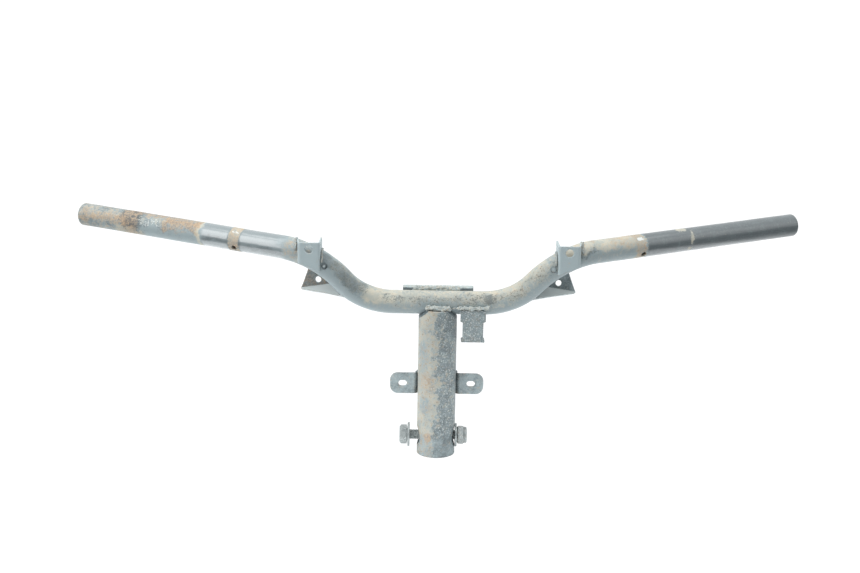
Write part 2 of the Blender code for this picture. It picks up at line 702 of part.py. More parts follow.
def make_stem_welds(shop, bar_keepout):
    """One bead in front of and one behind the bar, along the stem's coped top edge."""
    below = shop.tool("stem_bead_floor", box_mesh("stem_bead_floor", (BIG, BIG, BIG)),
                      (0, 0, STEM_FRONT_TOP + GAP - BIG / 2))
    reach = STEM_RADIUS - STEM_WALL - PLATE_GAP - GAP
    for face, label, radius in ((-1, "front", STEM_BEAD), (1, "rear", STEM_REAR_BEAD)):
        path = []
        for i in range(BEAD_POINTS):
            x = STEM_CORNER_X * (2 * i / (BEAD_POINTS - 1) - 1)
            bow = math.sqrt(reach ** 2 - x * x) * STEM_BEAD_BOW
            path.append(Vector((x, face * (bow + STEM_BEAD_Y), STEM_BEAD_Z)))
        bead(shop, f"weld_stem_{label}", path, radius, [bar_keepout, below])


def make_plate_weld(shop, bar_keepout):
    """The bead in the groove between the bar's back and the centre plate."""
    wall = shop.tool("plate_bead_wall", box_mesh("plate_bead_wall", (BIG, BIG, BIG)),
                     (0, BAR_RADIUS + PLATE_GAP - GAP + BIG / 2, BAR_HEIGHT))
    path = [Vector((PLATE_BEAD_X + PLATE_BEAD_STEP * i, PLATE_BEAD_Y, PLATE_BEAD_Z))
            for i in range(BEAD_POINTS)]
    bead(shop, "weld_centre_plate", path, PLATE_BEAD, [bar_keepout, wall])


def make_tab_weld(shop, bar_keepout):
    """The bead along the top edge of the cable tab."""
    below = shop.tool("tab_bead_floor", box_mesh("tab_bead_floor", (BIG, BIG, BIG)),
                      (TAB_CENTRE_X, 0, TAB_TOP + GAP - BIG / 2))
    path = [Vector((TAB_BEAD_START_X + TAB_BEAD_STEP * i, TAB_BEAD_Y, TAB_TOP + TAB_BEAD / 2))
            for i in range(BEAD_POINTS)]
    bead(shop, "weld_cable_tab", path, TAB_BEAD, [bar_keepout, below])


def make_channel_welds(shop, bar_keepout):
    """A bead along each channel flange where it meets the bar."""
    angles = [CHANNEL_BEAD_START + CHANNEL_BEAD_TURN * i for i in range(CHANNEL_BEAD_POINTS)]
    half = CHANNEL_WIDTH / 2
    for side, label in ((-1, "left"), (1, "right")):
        for out, place in ((-1, "inner"), (1, "outer")):
            name = f"weld_upper_bracket_{label}_{place}"
            clear = CHANNEL_BEAD_CLEAR + CHANNEL_BEAD_SPLAY_CLEAR * (out > 0)
            path = bar_seam(CHANNEL_X + out * (half + clear), side, 2 * GAP, angles)
            lean = Matrix.Rotation(-side * CHANNEL_SPLAY * (out > 0), 4, "Z")
            face = Vector((side * (CHANNEL_X + out * (half + GAP)), CHANNEL_FRONT_Y,
                           CHANNEL_OUTER_BOTTOM))
            centre = face + lean.to_3x3() @ Vector((-side * out * BIG / 2, 0, 0))
            wall = shop.tool(f"{name}_wall", box_mesh(f"{name}_wall", (BIG, 2 * BIG, BIG)),
                             centre, lean)
            bead(shop, name, path, SMALL_BEAD, [bar_keepout, wall])


def make_gusset_welds(shop, bar_keepout):
    """A bead between the back of the bar and each gusset's web."""
    for side, label in ((-1, "left"), (1, "right")):
        path = []
        for i in range(GUSSET_BEAD_POINTS):
            centre, along = bar_axis(GUSSET_BEAD_X + GUSSET_BEAD_STEP * i, side)
            back = Vector(GUSSET_BEAD_SIDE)
            back = (back - along * back.dot(along)).normalized()
            path.append(centre + back * (BAR_RADIUS + GUSSET_BEAD / 2))
        wall = shop.tool(f"gusset_bead_wall_{label}",
                         box_mesh(f"gusset_bead_wall_{label}", (BIG, BIG, BIG)),
                         (side * GUSSET_HOLE_X, GUSSET_WEB_Y - GAP + BIG / 2, GUSSET_HOLE_Z))
        bead(shop, f"weld_lower_bracket_{label}", path, GUSSET_BEAD, [bar_keepout, wall])


def make_strap_welds(shop):
    """A bead on the strap's top edge at each side of the stem."""
    stem_keepout = shop.tool("stem_keepout",
                             cylinder_mesh("stem_keepout", STEM_RADIUS + GAP, 0.06),
                             (0, 0, EAR_Z))
    top = EAR_Z + EAR_HEIGHT / 2
    floor = shop.tool("strap_bead_floor", box_mesh("strap_bead_floor", (BIG, BIG, BIG)),
                      (0, 0, top + GAP - BIG / 2))
    for side, label in ((-1, "left"), (1, "right")):
        path = []
        for i in range(STRAP_BEAD_POINTS):
            angle = STRAP_BEAD_START + STRAP_BEAD_TURN * i
            reach = STEM_RADIUS + STRAP_BEAD_OUT
            path.append(Vector((side * reach * math.cos(angle), reach * math.sin(angle),
                                top + GAP)))
        bead(shop, f"weld_ear_strap_{label}", path, SMALL_BEAD, [stem_keepout, floor])


def main():
    clear_scene()
    shop = Shop()
    keepout_mesh = round_mesh("bar_keepout", whole_bar(0.002), BAR_RADIUS + GAP, 28)
    bar_keepout = shop.tool("bar_keepout", keepout_mesh)
    make_bar(shop)
    make_plugs(shop)
    make_stem(shop, bar_keepout)
    make_centre_plate(shop)
    make_cable_tab(shop)
    make_ear_strap(shop)
    make_channels(shop, bar_keepout)
    make_gussets(shop, bar_keepout)
    make_clamp(shop)
    make_stem_welds(shop, bar_keepout)
    make_plate_weld(shop, bar_keepout)
    make_tab_weld(shop, bar_keepout)
    make_channel_welds(shop, bar_keepout)
    make_gusset_welds(shop, bar_keepout)
    make_strap_welds(shop)


main()
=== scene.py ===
"""A worn steel scooter handlebar: dense meshes rebuilt round the CAD frame, rippled welds,
threaded clamp parts, and procedural paint, rust and dust materials."""
import math

import bmesh
import bpy
import numpy as np
from mathutils import Matrix, Vector, noise


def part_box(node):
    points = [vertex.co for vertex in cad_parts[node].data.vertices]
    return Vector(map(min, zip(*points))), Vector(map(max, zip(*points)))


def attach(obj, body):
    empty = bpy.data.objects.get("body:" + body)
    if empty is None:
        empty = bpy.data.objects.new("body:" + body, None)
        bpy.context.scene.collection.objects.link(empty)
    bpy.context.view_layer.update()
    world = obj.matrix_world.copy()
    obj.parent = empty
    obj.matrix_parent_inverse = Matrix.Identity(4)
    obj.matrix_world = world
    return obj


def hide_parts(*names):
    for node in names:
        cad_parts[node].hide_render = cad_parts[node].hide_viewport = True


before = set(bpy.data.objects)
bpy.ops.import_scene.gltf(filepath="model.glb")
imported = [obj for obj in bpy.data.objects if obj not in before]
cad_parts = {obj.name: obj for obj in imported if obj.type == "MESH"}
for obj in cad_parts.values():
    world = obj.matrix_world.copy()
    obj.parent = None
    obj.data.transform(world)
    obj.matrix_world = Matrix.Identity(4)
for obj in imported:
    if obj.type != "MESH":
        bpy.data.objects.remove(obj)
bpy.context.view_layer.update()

# Handlebar tube
BAR_RADIUS = 0.0111
BAR_BORE = 0.0091
BAR_HEIGHT = 0.1494
LOWER_CORNER = Vector((0.0722, 0.0, 0.1494))
UPPER_CORNER = Vector((0.1132, -0.0201, 0.1992))
GRIP_LEG = 0.2685
GRIP_SWEEP = math.radians(24.9)
GRIP_RISE = math.radians(3.1)
LOWER_BEND = 0.060
UPPER_BEND = 0.062
BAR_STEP = 0.0022
BAR_SIDES = 72
SWITCH_HOLE = 0.1840
SWITCH_HOLE_RADIUS = 0.00275
SWITCH_HOLE_DROP = math.radians(38)
PLUG_X = 0.1070
PLUG_HOLE_RADIUS = 0.0029
PLUG_FACING = Vector((0, -1, 0.1))
END_ROUND = 0.0005
FORWARD = Vector((0, -1, 0))
NEAREST_BATCH = 4000
BAR_WEAR = {"fade": 0.95, "dust": 0.10, "rust": 0.0, "pit": 0.04, "chip": 0.04, "gloss": 0.25}

# Stem
STEM_RADIUS = 0.0183
CLAMP_Z = 0.0178
SLIT_LINE = 0.1541

# Clamp parts
CLAMP_SIDES = 96
PITCH = 0.0015
BOLT_RADIUS = 0.0048
THREAD_DEPTH = 0.00060
THREAD_START = 0.0006
THREAD_RINGS = 10
BOLT_LENGTH = 0.0550
BOLT_UNDER_HEAD_X = -0.0277
BOLT_HEAD_LENGTH = 0.0074
HEX_ACROSS_FLATS = 0.0160
HEX_FLAT = HEX_ACROSS_FLATS / 2
HEX_CORNER = HEX_ACROSS_FLATS / math.sqrt(3)
HEAD_TURN = math.radians(8)
BOLT_WASHER_RADIUS = 0.0116
NUT_WASHER_RADIUS = 0.0113
WASHER_BORE = 0.0053
WASHER_ROUND = 0.00035
NUT_BORE = 0.0051
NUT_LENGTH = 0.0068
NUT_COLLAR_RADIUS = 0.0078
NUT_COLLAR_LENGTH = 0.0026
NUT_COLLAR_ROUND = 0.0012

# Face sizes of the skins, and what else shapes them
SHEET_VOXEL = 0.00045
WELD_VOXEL = 0.00032
STEM_VOXEL = 0.00055
PLUG_VOXEL = 0.00030
SHEET_DENT = 0.00012
STEM_DENT = 0.00010
MERGE_GAP = 0.000002
DRILL_SIDES = 32
SHARP_ANGLE = math.radians(35)

# Colours
PAINT_DARK = (0.070, 0.088, 0.095)
PAINT_WORN = (0.275, 0.335, 0.350)
BRACKET_WORN = (0.365, 0.440, 0.460)
CREAM = (0.60, 0.545, 0.425)
CREAM_GREY = (0.42, 0.435, 0.385)
RUST_ORANGE = (0.50, 0.345, 0.205)
RUST_DARK = (0.205, 0.150, 0.115)
BARE = (0.66, 0.705, 0.70)
PIT = (0.090, 0.118, 0.128)
ZINC = (0.40, 0.435, 0.43)
ZINC_DARK = (0.25, 0.28, 0.285)
FLOOR_WHITE = (0.93, 0.94, 0.95)
SKY_COLOUR = (0.985, 0.995, 1.0)
NOISE_SPAN = (0.26, 0.74)

# Floor, light and camera
FLOOR_PLACE = Matrix.Translation((0, 0.55, 0)) @ Matrix.Diagonal((0.46, 0.75, 1, 1))
FLOOR_GLOW = 0.28
SKY_LEAST = 0.22
SKY_RISE = 0.72
BACKDROP = 1.1
CAMERA_PLACE = (-0.01361, -1.15616, 0.41466)
CAMERA_LENS = 52.38
CAMERA_DOWN = math.radians(12.21)
CAMERA_YAW = math.radians(0.28)
CAMERA_ROLL = math.radians(0.95)


# ---------------------------------------------------------------- meshes

def add_piece(name, mesh, body, slot, *nodes):
    """A visible object that rides on a body in place of these CAD nodes."""
    made = bpy.data.objects.new(name, mesh)
    bpy.context.scene.collection.objects.link(made)
    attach(made, body)
    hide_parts(*nodes)


def finish_piece(name, mesh, body, slot, material):
    """The node's visible skin in its material, riding on its body."""
    mesh.materials.clear()
    mesh.materials.append(material)
    add_piece(name + "_skin", mesh, body, slot, name)


def mesh_of(name, verts, faces):
    mesh = bpy.data.meshes.new(name)
    mesh.from_pydata([tuple(v) for v in verts], [], faces)
    work = bmesh.new()
    work.from_mesh(mesh)
    bmesh.ops.recalc_face_normals(work, faces=work.faces)
    work.to_mesh(mesh)
    work.free()
    return mesh


def points_of(mesh):
    co = np.zeros(len(mesh.vertices) * 3, np.float32)
    mesh.vertices.foreach_get("co", co)
    return co.reshape(-1, 3).astype(float)


def normals_of(mesh):
    no = np.zeros(len(mesh.vertices) * 3, np.float32)
    mesh.vertices.foreach_get("normal", no)
    return no.reshape(-1, 3).astype(float)


def set_points(mesh, co):
    mesh.vertices.foreach_set("co", np.asarray(co, np.float32).ravel())
    mesh.update()


def edges_of(mesh):
    pairs = np.zeros(len(mesh.edges) * 2, np.int32)
    mesh.edges.foreach_get("vertices", pairs)
    return pairs.reshape(-1, 2)


def averaged(mesh, values, rounds):
    """Each vertex's value, blended with its neighbours'."""
    pairs = edges_of(mesh)
    counts = np.bincount(pairs.ravel(), minlength=len(values)).astype(float)
    for _ in range(rounds):
        total = (np.bincount(pairs[:, 0], values[pairs[:, 1]], len(values))
                 + np.bincount(pairs[:, 1], values[pairs[:, 0]], len(values)))
        values = 0.5 * values + 0.5 * total / np.maximum(counts, 1)
    return values


def edge_of(mesh, gain=3.5):
    """How far each vertex stands out of its neighbours: 0 where flat, 1 on an edge."""
    co, no, pairs = points_of(mesh), normals_of(mesh), edges_of(mesh)
    along = co[pairs[:, 0]] - co[pairs[:, 1]]
    along /= np.maximum(np.linalg.norm(along, axis=1, keepdims=True), 1e-9)
    first = np.einsum("ij,ij->i", no[pairs[:, 0]], along)
    second = np.einsum("ij,ij->i", no[pairs[:, 1]], -along)
    count = np.bincount(pairs.ravel(), minlength=len(co)).astype(float)
    total = (np.bincount(pairs[:, 0], first, len(co))
             + np.bincount(pairs[:, 1], second, len(co)))
    return np.clip(averaged(mesh, total / np.maximum(count, 1), 1) * gain, 0, 1)


def field(co, size, seed=0.0, octaves=3):
    """Smooth noise about 0 at each point, with features of about this size."""
    shift = Vector((seed * 7.1, seed * 3.7, seed * 5.3))
    return np.array([noise.fractal(Vector(p) / size + shift, 0.6, 2.1, octaves)
                     for p in co])


def applied(holder):
    """The object's mesh with its modifiers applied; the object is removed."""
    graph = bpy.context.evaluated_depsgraph_get()
    mesh = bpy.data.meshes.new_from_object(holder.evaluated_get(graph))
    bpy.data.objects.remove(holder, do_unlink=True)
    return mesh


def held(mesh):
    """A linked object that holds the mesh for a while."""
    holder = bpy.data.objects.new("holder", mesh)
    bpy.context.scene.collection.objects.link(holder)
    return holder


def cut(mesh, *tools):
    """The mesh with closed tool meshes taken out of it."""
    holder = held(mesh)
    helpers = [held(tool) for tool in tools]
    for helper in helpers:
        step = holder.modifiers.new("cut", "BOOLEAN")
        step.operation = "DIFFERENCE"
        step.solver = "EXACT"
        step.object = helper
    mesh = applied(holder)
    for helper in helpers:
        bpy.data.objects.remove(helper, do_unlink=True)
    return mesh


def drill(radius, length, centre, axis):
    """A closed round bar about a centre, to cut a hole with."""
    work = bmesh.new()
    turn = Vector((0, 0, 1)).rotation_difference(Vector(axis)).to_matrix().to_4x4()
    bmesh.ops.create_cone(work, cap_ends=True, segments=DRILL_SIDES, radius1=radius,
                          radius2=radius, depth=length,
                          matrix=Matrix.Translation(Vector(centre)) @ turn)
    mesh = bpy.data.meshes.new("drill")
    work.to_mesh(mesh)
    work.free()
    return mesh


def ball():
    """The points and faces of a unit ball."""
    work = bmesh.new()
    bmesh.ops.create_icosphere(work, subdivisions=2, radius=1)
    points = np.array([tuple(v.co) for v in work.verts])
    faces = np.array([[v.index for v in face.verts] for face in work.faces])
    work.free()
    return points, faces


BALL_POINTS, BALL_FACES = ball()


def remeshed(node, voxel, lumps=(), soften=2):
    """The CAD node's solid as an even skin of small faces, with round lumps grown on it.
    Each lump is (centre, size in x, y and z)."""
    work = bmesh.new()
    work.from_mesh(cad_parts[node].data)
    bmesh.ops.remove_doubles(work, verts=work.verts, dist=MERGE_GAP)
    points = [tuple(v.co) for v in work.verts]
    faces = [tuple(v.index for v in face.verts) for face in work.faces]
    work.free()
    for centre, size in lumps:
        faces += [tuple(face) for face in (BALL_FACES + len(points)).tolist()]
        points += [tuple(p) for p in BALL_POINTS * np.array(size) + np.array(centre)]
    mesh = bpy.data.meshes.new(node + "_skin")
    mesh.from_pydata(points, [], faces)
    holder = held(mesh)
    step = holder.modifiers.new("skin", "REMESH")
    step.mode = "VOXEL"
    step.voxel_size = voxel
    mesh = applied(holder)
    co = points_of(mesh)
    for axis in range(3):
        co[:, axis] = averaged(mesh, co[:, axis], soften)
    set_points(mesh, co)
    return mesh


def smooth(mesh):
    mesh.shade_smooth()
    return mesh


def give(mesh, **values):
    """Each named value, or array of values, stored on the mesh's vertices."""
    for name, value in values.items():
        slot = mesh.attributes.new(name, "FLOAT", "POINT")
        full = np.broadcast_to(np.asarray(value, np.float32), len(mesh.vertices))
        slot.data.foreach_set("value", np.ascontiguousarray(full))


def step_up(x, low, high):
    """0 up to low, 1 from high on, and smooth between."""
    t = np.clip((np.asarray(x, float) - low) / (high - low), 0, 1)
    return t * t * (3 - 2 * t)


def band(x, low, high, soft):
    """1 from low to high, and 0 beyond a soft edge on either side."""
    return step_up(x, low - soft, low) * (1 - step_up(x, high, high + soft))


def patch(co, centre, size):
    """1 at the centre, falling to 0 at the given half sizes."""
    away = (co - np.array(centre)) / np.array(size)
    return 1 - step_up(np.sqrt((away ** 2).sum(1)), 0.45, 1.0)


# ---------------------------------------------------------------- materials

class Nodes:
    """A node tree, with short names for what is added to it."""

    def __init__(self, tree):
        self.tree = tree

    def add(self, kind, **settings):
        node = self.tree.nodes.new("ShaderNode" + kind)
        for key, value in settings.items():
            setattr(node, key, value)
        return node

    def feed(self, socket, value):
        if isinstance(value, bpy.types.NodeSocket):
            self.tree.links.new(value, socket)
        elif isinstance(value, tuple) and len(value) == 3 and socket.type == "RGBA":
            socket.default_value = (*value, 1)
        else:
            socket.default_value = value

    def math(self, kind, *values):
        node = self.add("Math", operation=kind)
        for socket, value in zip(node.inputs, values):
            self.feed(socket, value)
        return node.outputs[0]

    def span(self, value, low, high, bottom=0.0, top=1.0, smooth_step=False):
        """The value's place between low and high, as one between bottom and top."""
        node = self.add("MapRange", clamp=True)
        if smooth_step:
            node.interpolation_type = "SMOOTHSTEP"
        self.feed(node.inputs["Value"], value)
        self.feed(node.inputs["From Min"], low)
        self.feed(node.inputs["From Max"], high)
        self.feed(node.inputs["To Min"], bottom)
        self.feed(node.inputs["To Max"], top)
        return node.outputs["Result"]


class Kit(Nodes):
    """A material's nodes, with short names for grains, masks and mixes."""

    def __init__(self, name):
        self.material = bpy.data.materials.new(name)
        self.material.use_nodes = True
        super().__init__(self.material.node_tree)
        self.shader = self.tree.nodes["Principled BSDF"]
        self.place = self.add("TexCoord").outputs["Object"]

    def surface(self, name, value):
        self.feed(self.shader.inputs[name], value)

    def noise(self, size, detail=4.0, roughness=0.55, twist=0.0, stretch=None):
        """Grain from 0 to 1, with features of about this size in metres."""
        place = self.place
        if stretch:
            turn = self.add("Mapping", vector_type="POINT")
            self.feed(turn.inputs["Vector"], place)
            turn.inputs["Scale"].default_value = stretch
            place = turn.outputs["Vector"]
        node = self.add("TexNoise")
        self.feed(node.inputs["Vector"], place)
        node.inputs["Scale"].default_value = 1 / size
        node.inputs["Detail"].default_value = detail
        node.inputs["Roughness"].default_value = roughness
        node.inputs["Distortion"].default_value = twist
        return self.span(node.outputs["Fac"], *NOISE_SPAN)

    def scaled(self, value, share):
        return self.math("MULTIPLY", value, share)

    def blend(self, a, share_a, b, share_b):
        return self.math("ADD", self.scaled(a, share_a), self.scaled(b, share_b))

    def mask(self, name):
        return self.add("Attribute", attribute_name=name).outputs["Fac"]

    def cover(self, share, grain, soft):
        """A mask that covers about this share of the surface, in the grain's shapes."""
        return self.span(self.math("ADD", share, grain), 1 - soft, 1 + soft, smooth_step=True)

    def colours(self, share, a, b):
        node = self.add("Mix", data_type="RGBA")
        for socket, value in ((0, share), (6, a), (7, b)):
            self.feed(node.inputs[socket], value)
        return node.outputs[2]

    def values(self, share, a, b):
        return self.span(share, 0.0, 1.0, a, b)

    def bump(self, strength, distance, height):
        node = self.add("Bump")
        self.feed(node.inputs["Strength"], strength)
        self.feed(node.inputs["Distance"], distance)
        self.feed(node.inputs["Height"], height)
        self.surface("Normal", node.outputs["Normal"])


def worn_paint(name, fine=1.0, worn=PAINT_WORN):
    """Old black paint: greyed, dusted cream, rusted, chipped and pitted where the piece's own
    masks say, each in its own grain; on some pieces the masks also carry painted light and
    painted shade."""
    kit = Kit(name)
    coarse = kit.noise(0.0100 * fine, detail=5, roughness=0.6, twist=0.4)
    middle = kit.noise(0.0036 * fine, detail=6, roughness=0.66, twist=0.8)
    small = kit.noise(0.0015 * fine, detail=4, roughness=0.65)
    tiny = kit.noise(0.0007 * fine, detail=3, roughness=0.6)
    tone = kit.blend(coarse, 0.5, small, 0.5)
    fleck = kit.blend(small, 0.65, tiny, 0.35)

    shine, fade = kit.mask("gloss"), kit.mask("fade")
    clouded = kit.cover(fade, tone, 0.50)
    even = kit.math("MULTIPLY", kit.span(shine, 0.4, 0.9), kit.math("SUBTRACT", fade, clouded))
    colour = kit.colours(kit.math("ADD", clouded, even), PAINT_DARK, worn)
    dust_tone = kit.colours(kit.span(coarse, 0.25, 0.75), CREAM_GREY, CREAM)
    dust_tone = kit.colours(kit.scaled(fleck, 0.45), dust_tone, CREAM_GREY)
    rust_tone = kit.colours(kit.span(fleck, 0.2, 0.7), RUST_DARK, RUST_ORANGE)

    dusty = kit.cover(kit.mask("dust"), kit.blend(middle, 0.70, fleck, 0.30), 0.26)
    rusty = kit.cover(kit.mask("rust"), kit.blend(middle, 0.72, fleck, 0.28), 0.34)
    pitted = kit.cover(kit.mask("pit"), kit.blend(fleck, 0.58, middle, 0.42), 0.13)
    chipped = kit.cover(kit.mask("chip"), fleck, 0.12)
    for share, strength, over in ((dusty, 0.85, dust_tone), (rusty, 0.80, rust_tone),
                                  (pitted, 0.78, PIT), (chipped, 0.90, BARE)):
        colour = kit.colours(kit.scaled(share, strength), colour, over)
    kit.surface("Base Color", colour)

    matt = kit.math("MAXIMUM", kit.math("MAXIMUM", dusty, rusty), chipped)
    rough = kit.math("ADD", kit.values(shine, 0.60, 0.26),
                     kit.scaled(kit.math("ADD", tiny, -0.5), 0.12))
    kit.surface("Roughness", kit.values(matt, rough, 0.80))
    kit.surface("Metallic", 0.0)
    kit.surface("Specular IOR Level", 0.5)
    kit.surface("Coat Weight", kit.values(matt, kit.span(shine, 0.35, 1.0), 0.0))
    kit.surface("Coat IOR", 2.0)
    kit.surface("Coat Roughness", 0.22)

    height = kit.blend(dusty, 0.25, rusty, 0.45)
    height = kit.math("ADD", height, kit.blend(pitted, -0.6, fleck, 0.45))
    kit.bump(0.40, 0.00020, kit.math("MULTIPLY", height, kit.values(shine, 1.0, 0.06)))
    return kit.material


def plated(name, tint, dark):
    """Dull zinc plating: clouded, stained brown where its rust mask says, and finely scratched.
    """
    kit = Kit(name)
    cloud = kit.noise(0.0040, detail=5, roughness=0.6)
    small = kit.noise(0.0012, detail=4, roughness=0.6)
    scratch = kit.noise(0.0009, detail=3, stretch=(0.15, 1.0, 1.0))
    colour = kit.colours(kit.span(cloud, 0.2, 0.8), dark, tint)
    stain = kit.cover(kit.mask("rust"), kit.blend(cloud, 0.5, small, 0.5), 0.2)
    colour = kit.colours(stain, colour, RUST_DARK)
    colour = kit.colours(kit.cover(kit.mask("chip"), small, 0.15), colour, BARE)
    kit.surface("Base Color", colour)
    kit.surface("Metallic", 0.40)
    kit.surface("Roughness", kit.values(stain, kit.values(cloud, 0.34, 0.56), 0.85))
    kit.bump(0.4, 0.00012, kit.math("ADD", small, scratch))
    return kit.material


# ---------------------------------------------------------------- handlebar tube

def grip_direction():
    return Vector((math.cos(GRIP_RISE) * math.cos(GRIP_SWEEP),
                   math.cos(GRIP_RISE) * math.sin(GRIP_SWEEP), math.sin(GRIP_RISE)))


def half_line():
    """Fine points of the bar's centre line, from the middle to the +X end."""
    corners = [Vector((0, 0, BAR_HEIGHT)), LOWER_CORNER, UPPER_CORNER,
               UPPER_CORNER + grip_direction() * GRIP_LEG]
    line = [corners[0]]
    for before, corner, after, radius in zip(corners, corners[1:], corners[2:],
                                             (LOWER_BEND, UPPER_BEND)):
        arriving = (corner - before).normalized()
        leaving = (after - corner).normalized()
        turn = arriving.angle(leaving)
        cut_off = radius * math.tan(turn / 2)
        centre = corner + (leaving - arriving).normalized() * (radius / math.cos(turn / 2))
        first = corner - arriving * cut_off - centre
        axis = arriving.cross(leaving).normalized()
        steps = round(turn * radius / 0.001)
        line += [centre + Matrix.Rotation(turn * i / steps, 3, axis) @ first
                 for i in range(steps + 1)]
    return line + [corners[-1]]


def resampled(line, step):
    """Even points along a line, with the distance of each from its start."""
    lengths = [0.0]
    for a, b in zip(line, line[1:]):
        lengths.append(lengths[-1] + (b - a).length)
    count = round(lengths[-1] / step)
    targets = [lengths[-1] * i / count for i in range(count + 1)]
    made, k = [], 0
    for target in targets:
        while k < len(line) - 2 and lengths[k + 1] < target:
            k += 1
        share = (target - lengths[k]) / max(lengths[k + 1] - lengths[k], 1e-9)
        made.append(line[k].lerp(line[k + 1], share))
    return made, targets


def mirrored(vector, side):
    """The vector itself for side 1, its mirror image across the middle for side -1."""
    return Vector((side * vector.x, vector.y, vector.z))


def square_to(along, direction):
    """The part of a direction that is square to a line, as a unit vector."""
    return (direction - along * direction.dot(along)).normalized()


RIGHT_LINE, RIGHT_REACH = resampled(half_line(), BAR_STEP)
HALF_LENGTH = RIGHT_REACH[-1]
BAR_LINE = [mirrored(p, -1) for p in reversed(RIGHT_LINE[1:])] + RIGHT_LINE
BAR_REACH = [-s for s in reversed(RIGHT_REACH[1:])] + RIGHT_REACH


def bar_frames():
    """At each station: the point, and the unit vectors along, to the front and up."""
    frames = []
    for i, point in enumerate(BAR_LINE):
        before, after = BAR_LINE[max(i - 1, 0)], BAR_LINE[min(i + 1, len(BAR_LINE) - 1)]
        along = (after - before).normalized()
        ahead = square_to(along, FORWARD)
        upward = ahead.cross(along)
        frames.append((point, along, ahead, upward if upward.z > 0 else -upward))
    return frames


def grip_point(distance_from_end, side):
    """A point on a grip's centre line, and the direction of the line there."""
    along = grip_direction()
    point = UPPER_CORNER + along * (GRIP_LEG - distance_from_end)
    return mirrored(point, side), mirrored(along, side)


def line_at(x, side):
    """The centre line's point this far to a side, and the direction of the line there."""
    for low, high in zip(RIGHT_LINE, RIGHT_LINE[1:]):
        if low.x <= x <= high.x:
            point = low.lerp(high, (x - low.x) / (high.x - low.x))
            along = (high - low).normalized()
            return mirrored(point, side), mirrored(along, side)
    raise ValueError("x is beyond the bar's end")


def ring_faces(rings, sides, closed=True):
    """Quads from each ring of vertices to the next, and back to the first if closed."""
    faces = []
    for i in range(rings if closed else rings - 1):
        j = (i + 1) % rings
        for k in range(sides):
            n = (k + 1) % sides
            faces.append((i * sides + k, i * sides + n, j * sides + n, j * sides + k))
    return faces


def bar_skin(frames, radius, flare):
    """Rings from the -X end to the +X end: point, front, up and radius. The rims at the ends
    are rounded outward for flare 1 and inward for flare -1."""
    lip = [(0.0, END_ROUND), (END_ROUND * 0.3, END_ROUND * 0.3), (END_ROUND, 0.0)]
    first, last = frames[0], frames[-1]
    near = [(first[0] + first[1] * back, first[2], first[3], radius + flare * drop)
            for back, drop in lip]
    middle = [(point, ahead, upward, radius) for point, _, ahead, upward in frames[1:-1]]
    far = [(last[0] - last[1] * back, last[2], last[3], radius + flare * drop)
           for back, drop in reversed(lip)]
    return near + middle + far


def bar_holes():
    """Tools for the switch-locating holes and the holes of the plug welds."""
    tools = []
    for side in (-1, 1):
        centre, along = grip_point(SWITCH_HOLE, side)
        ahead = square_to(along, FORWARD)
        outward = min((Matrix.Rotation(turn, 3, along) @ ahead
                       for turn in (SWITCH_HOLE_DROP, -SWITCH_HOLE_DROP)), key=lambda v: v.z)
        tools.append(drill(SWITCH_HOLE_RADIUS, 2 * BAR_RADIUS, centre + outward * BAR_RADIUS,
                           outward))
        centre, along = line_at(PLUG_X, side)
        outward = square_to(along, PLUG_FACING)
        tools.append(drill(PLUG_HOLE_RADIUS, BAR_RADIUS, centre + outward * BAR_RADIUS,
                           outward))
    return tools


def bar_mesh():
    """The tube, with rounded ends, faint dents and its drilled holes."""
    frames = bar_frames()
    rings = bar_skin(frames, BAR_RADIUS, -1) + bar_skin(frames, BAR_BORE, 1)[::-1]
    verts = []
    for point, ahead, upward, radius in rings:
        for k in range(BAR_SIDES):
            turn = math.tau * k / BAR_SIDES
            verts.append(point + (ahead * math.cos(turn) + upward * math.sin(turn)) * radius)
    mesh = mesh_of("handlebar_tube", verts, ring_faces(len(rings), BAR_SIDES))
    co = points_of(mesh)
    dents = field(co, 0.030, 1.0, 2) * 0.00012 + field(co, 0.006, 2.0, 2) * 0.00005
    set_points(mesh, co + normals_of(mesh) * dents[:, None])
    return cut(mesh, *bar_holes())


def bar_coordinates(mesh):
    """Each vertex, its signed distance along the bar, and its angle round it in degrees."""
    co = points_of(mesh)
    line, along, ahead, upward = (np.array([tuple(v) for v in column])
                                  for column in zip(*bar_frames()))
    nearest = np.zeros(len(co), int)
    for start in range(0, len(co), NEAREST_BATCH):
        part = co[start:start + NEAREST_BATCH]
        away = ((part[:, None, :] - line[None]) ** 2).sum(2)
        nearest[start:start + NEAREST_BATCH] = away.argmin(1)
    arm = co - line[nearest]
    reach = np.array(BAR_REACH)[nearest] + np.einsum("ij,ij->i", arm, along[nearest])
    forward = np.einsum("ij,ij->i", arm, ahead[nearest])
    up = np.einsum("ij,ij->i", arm, upward[nearest])
    return co, reach, np.degrees(np.arctan2(up, forward))


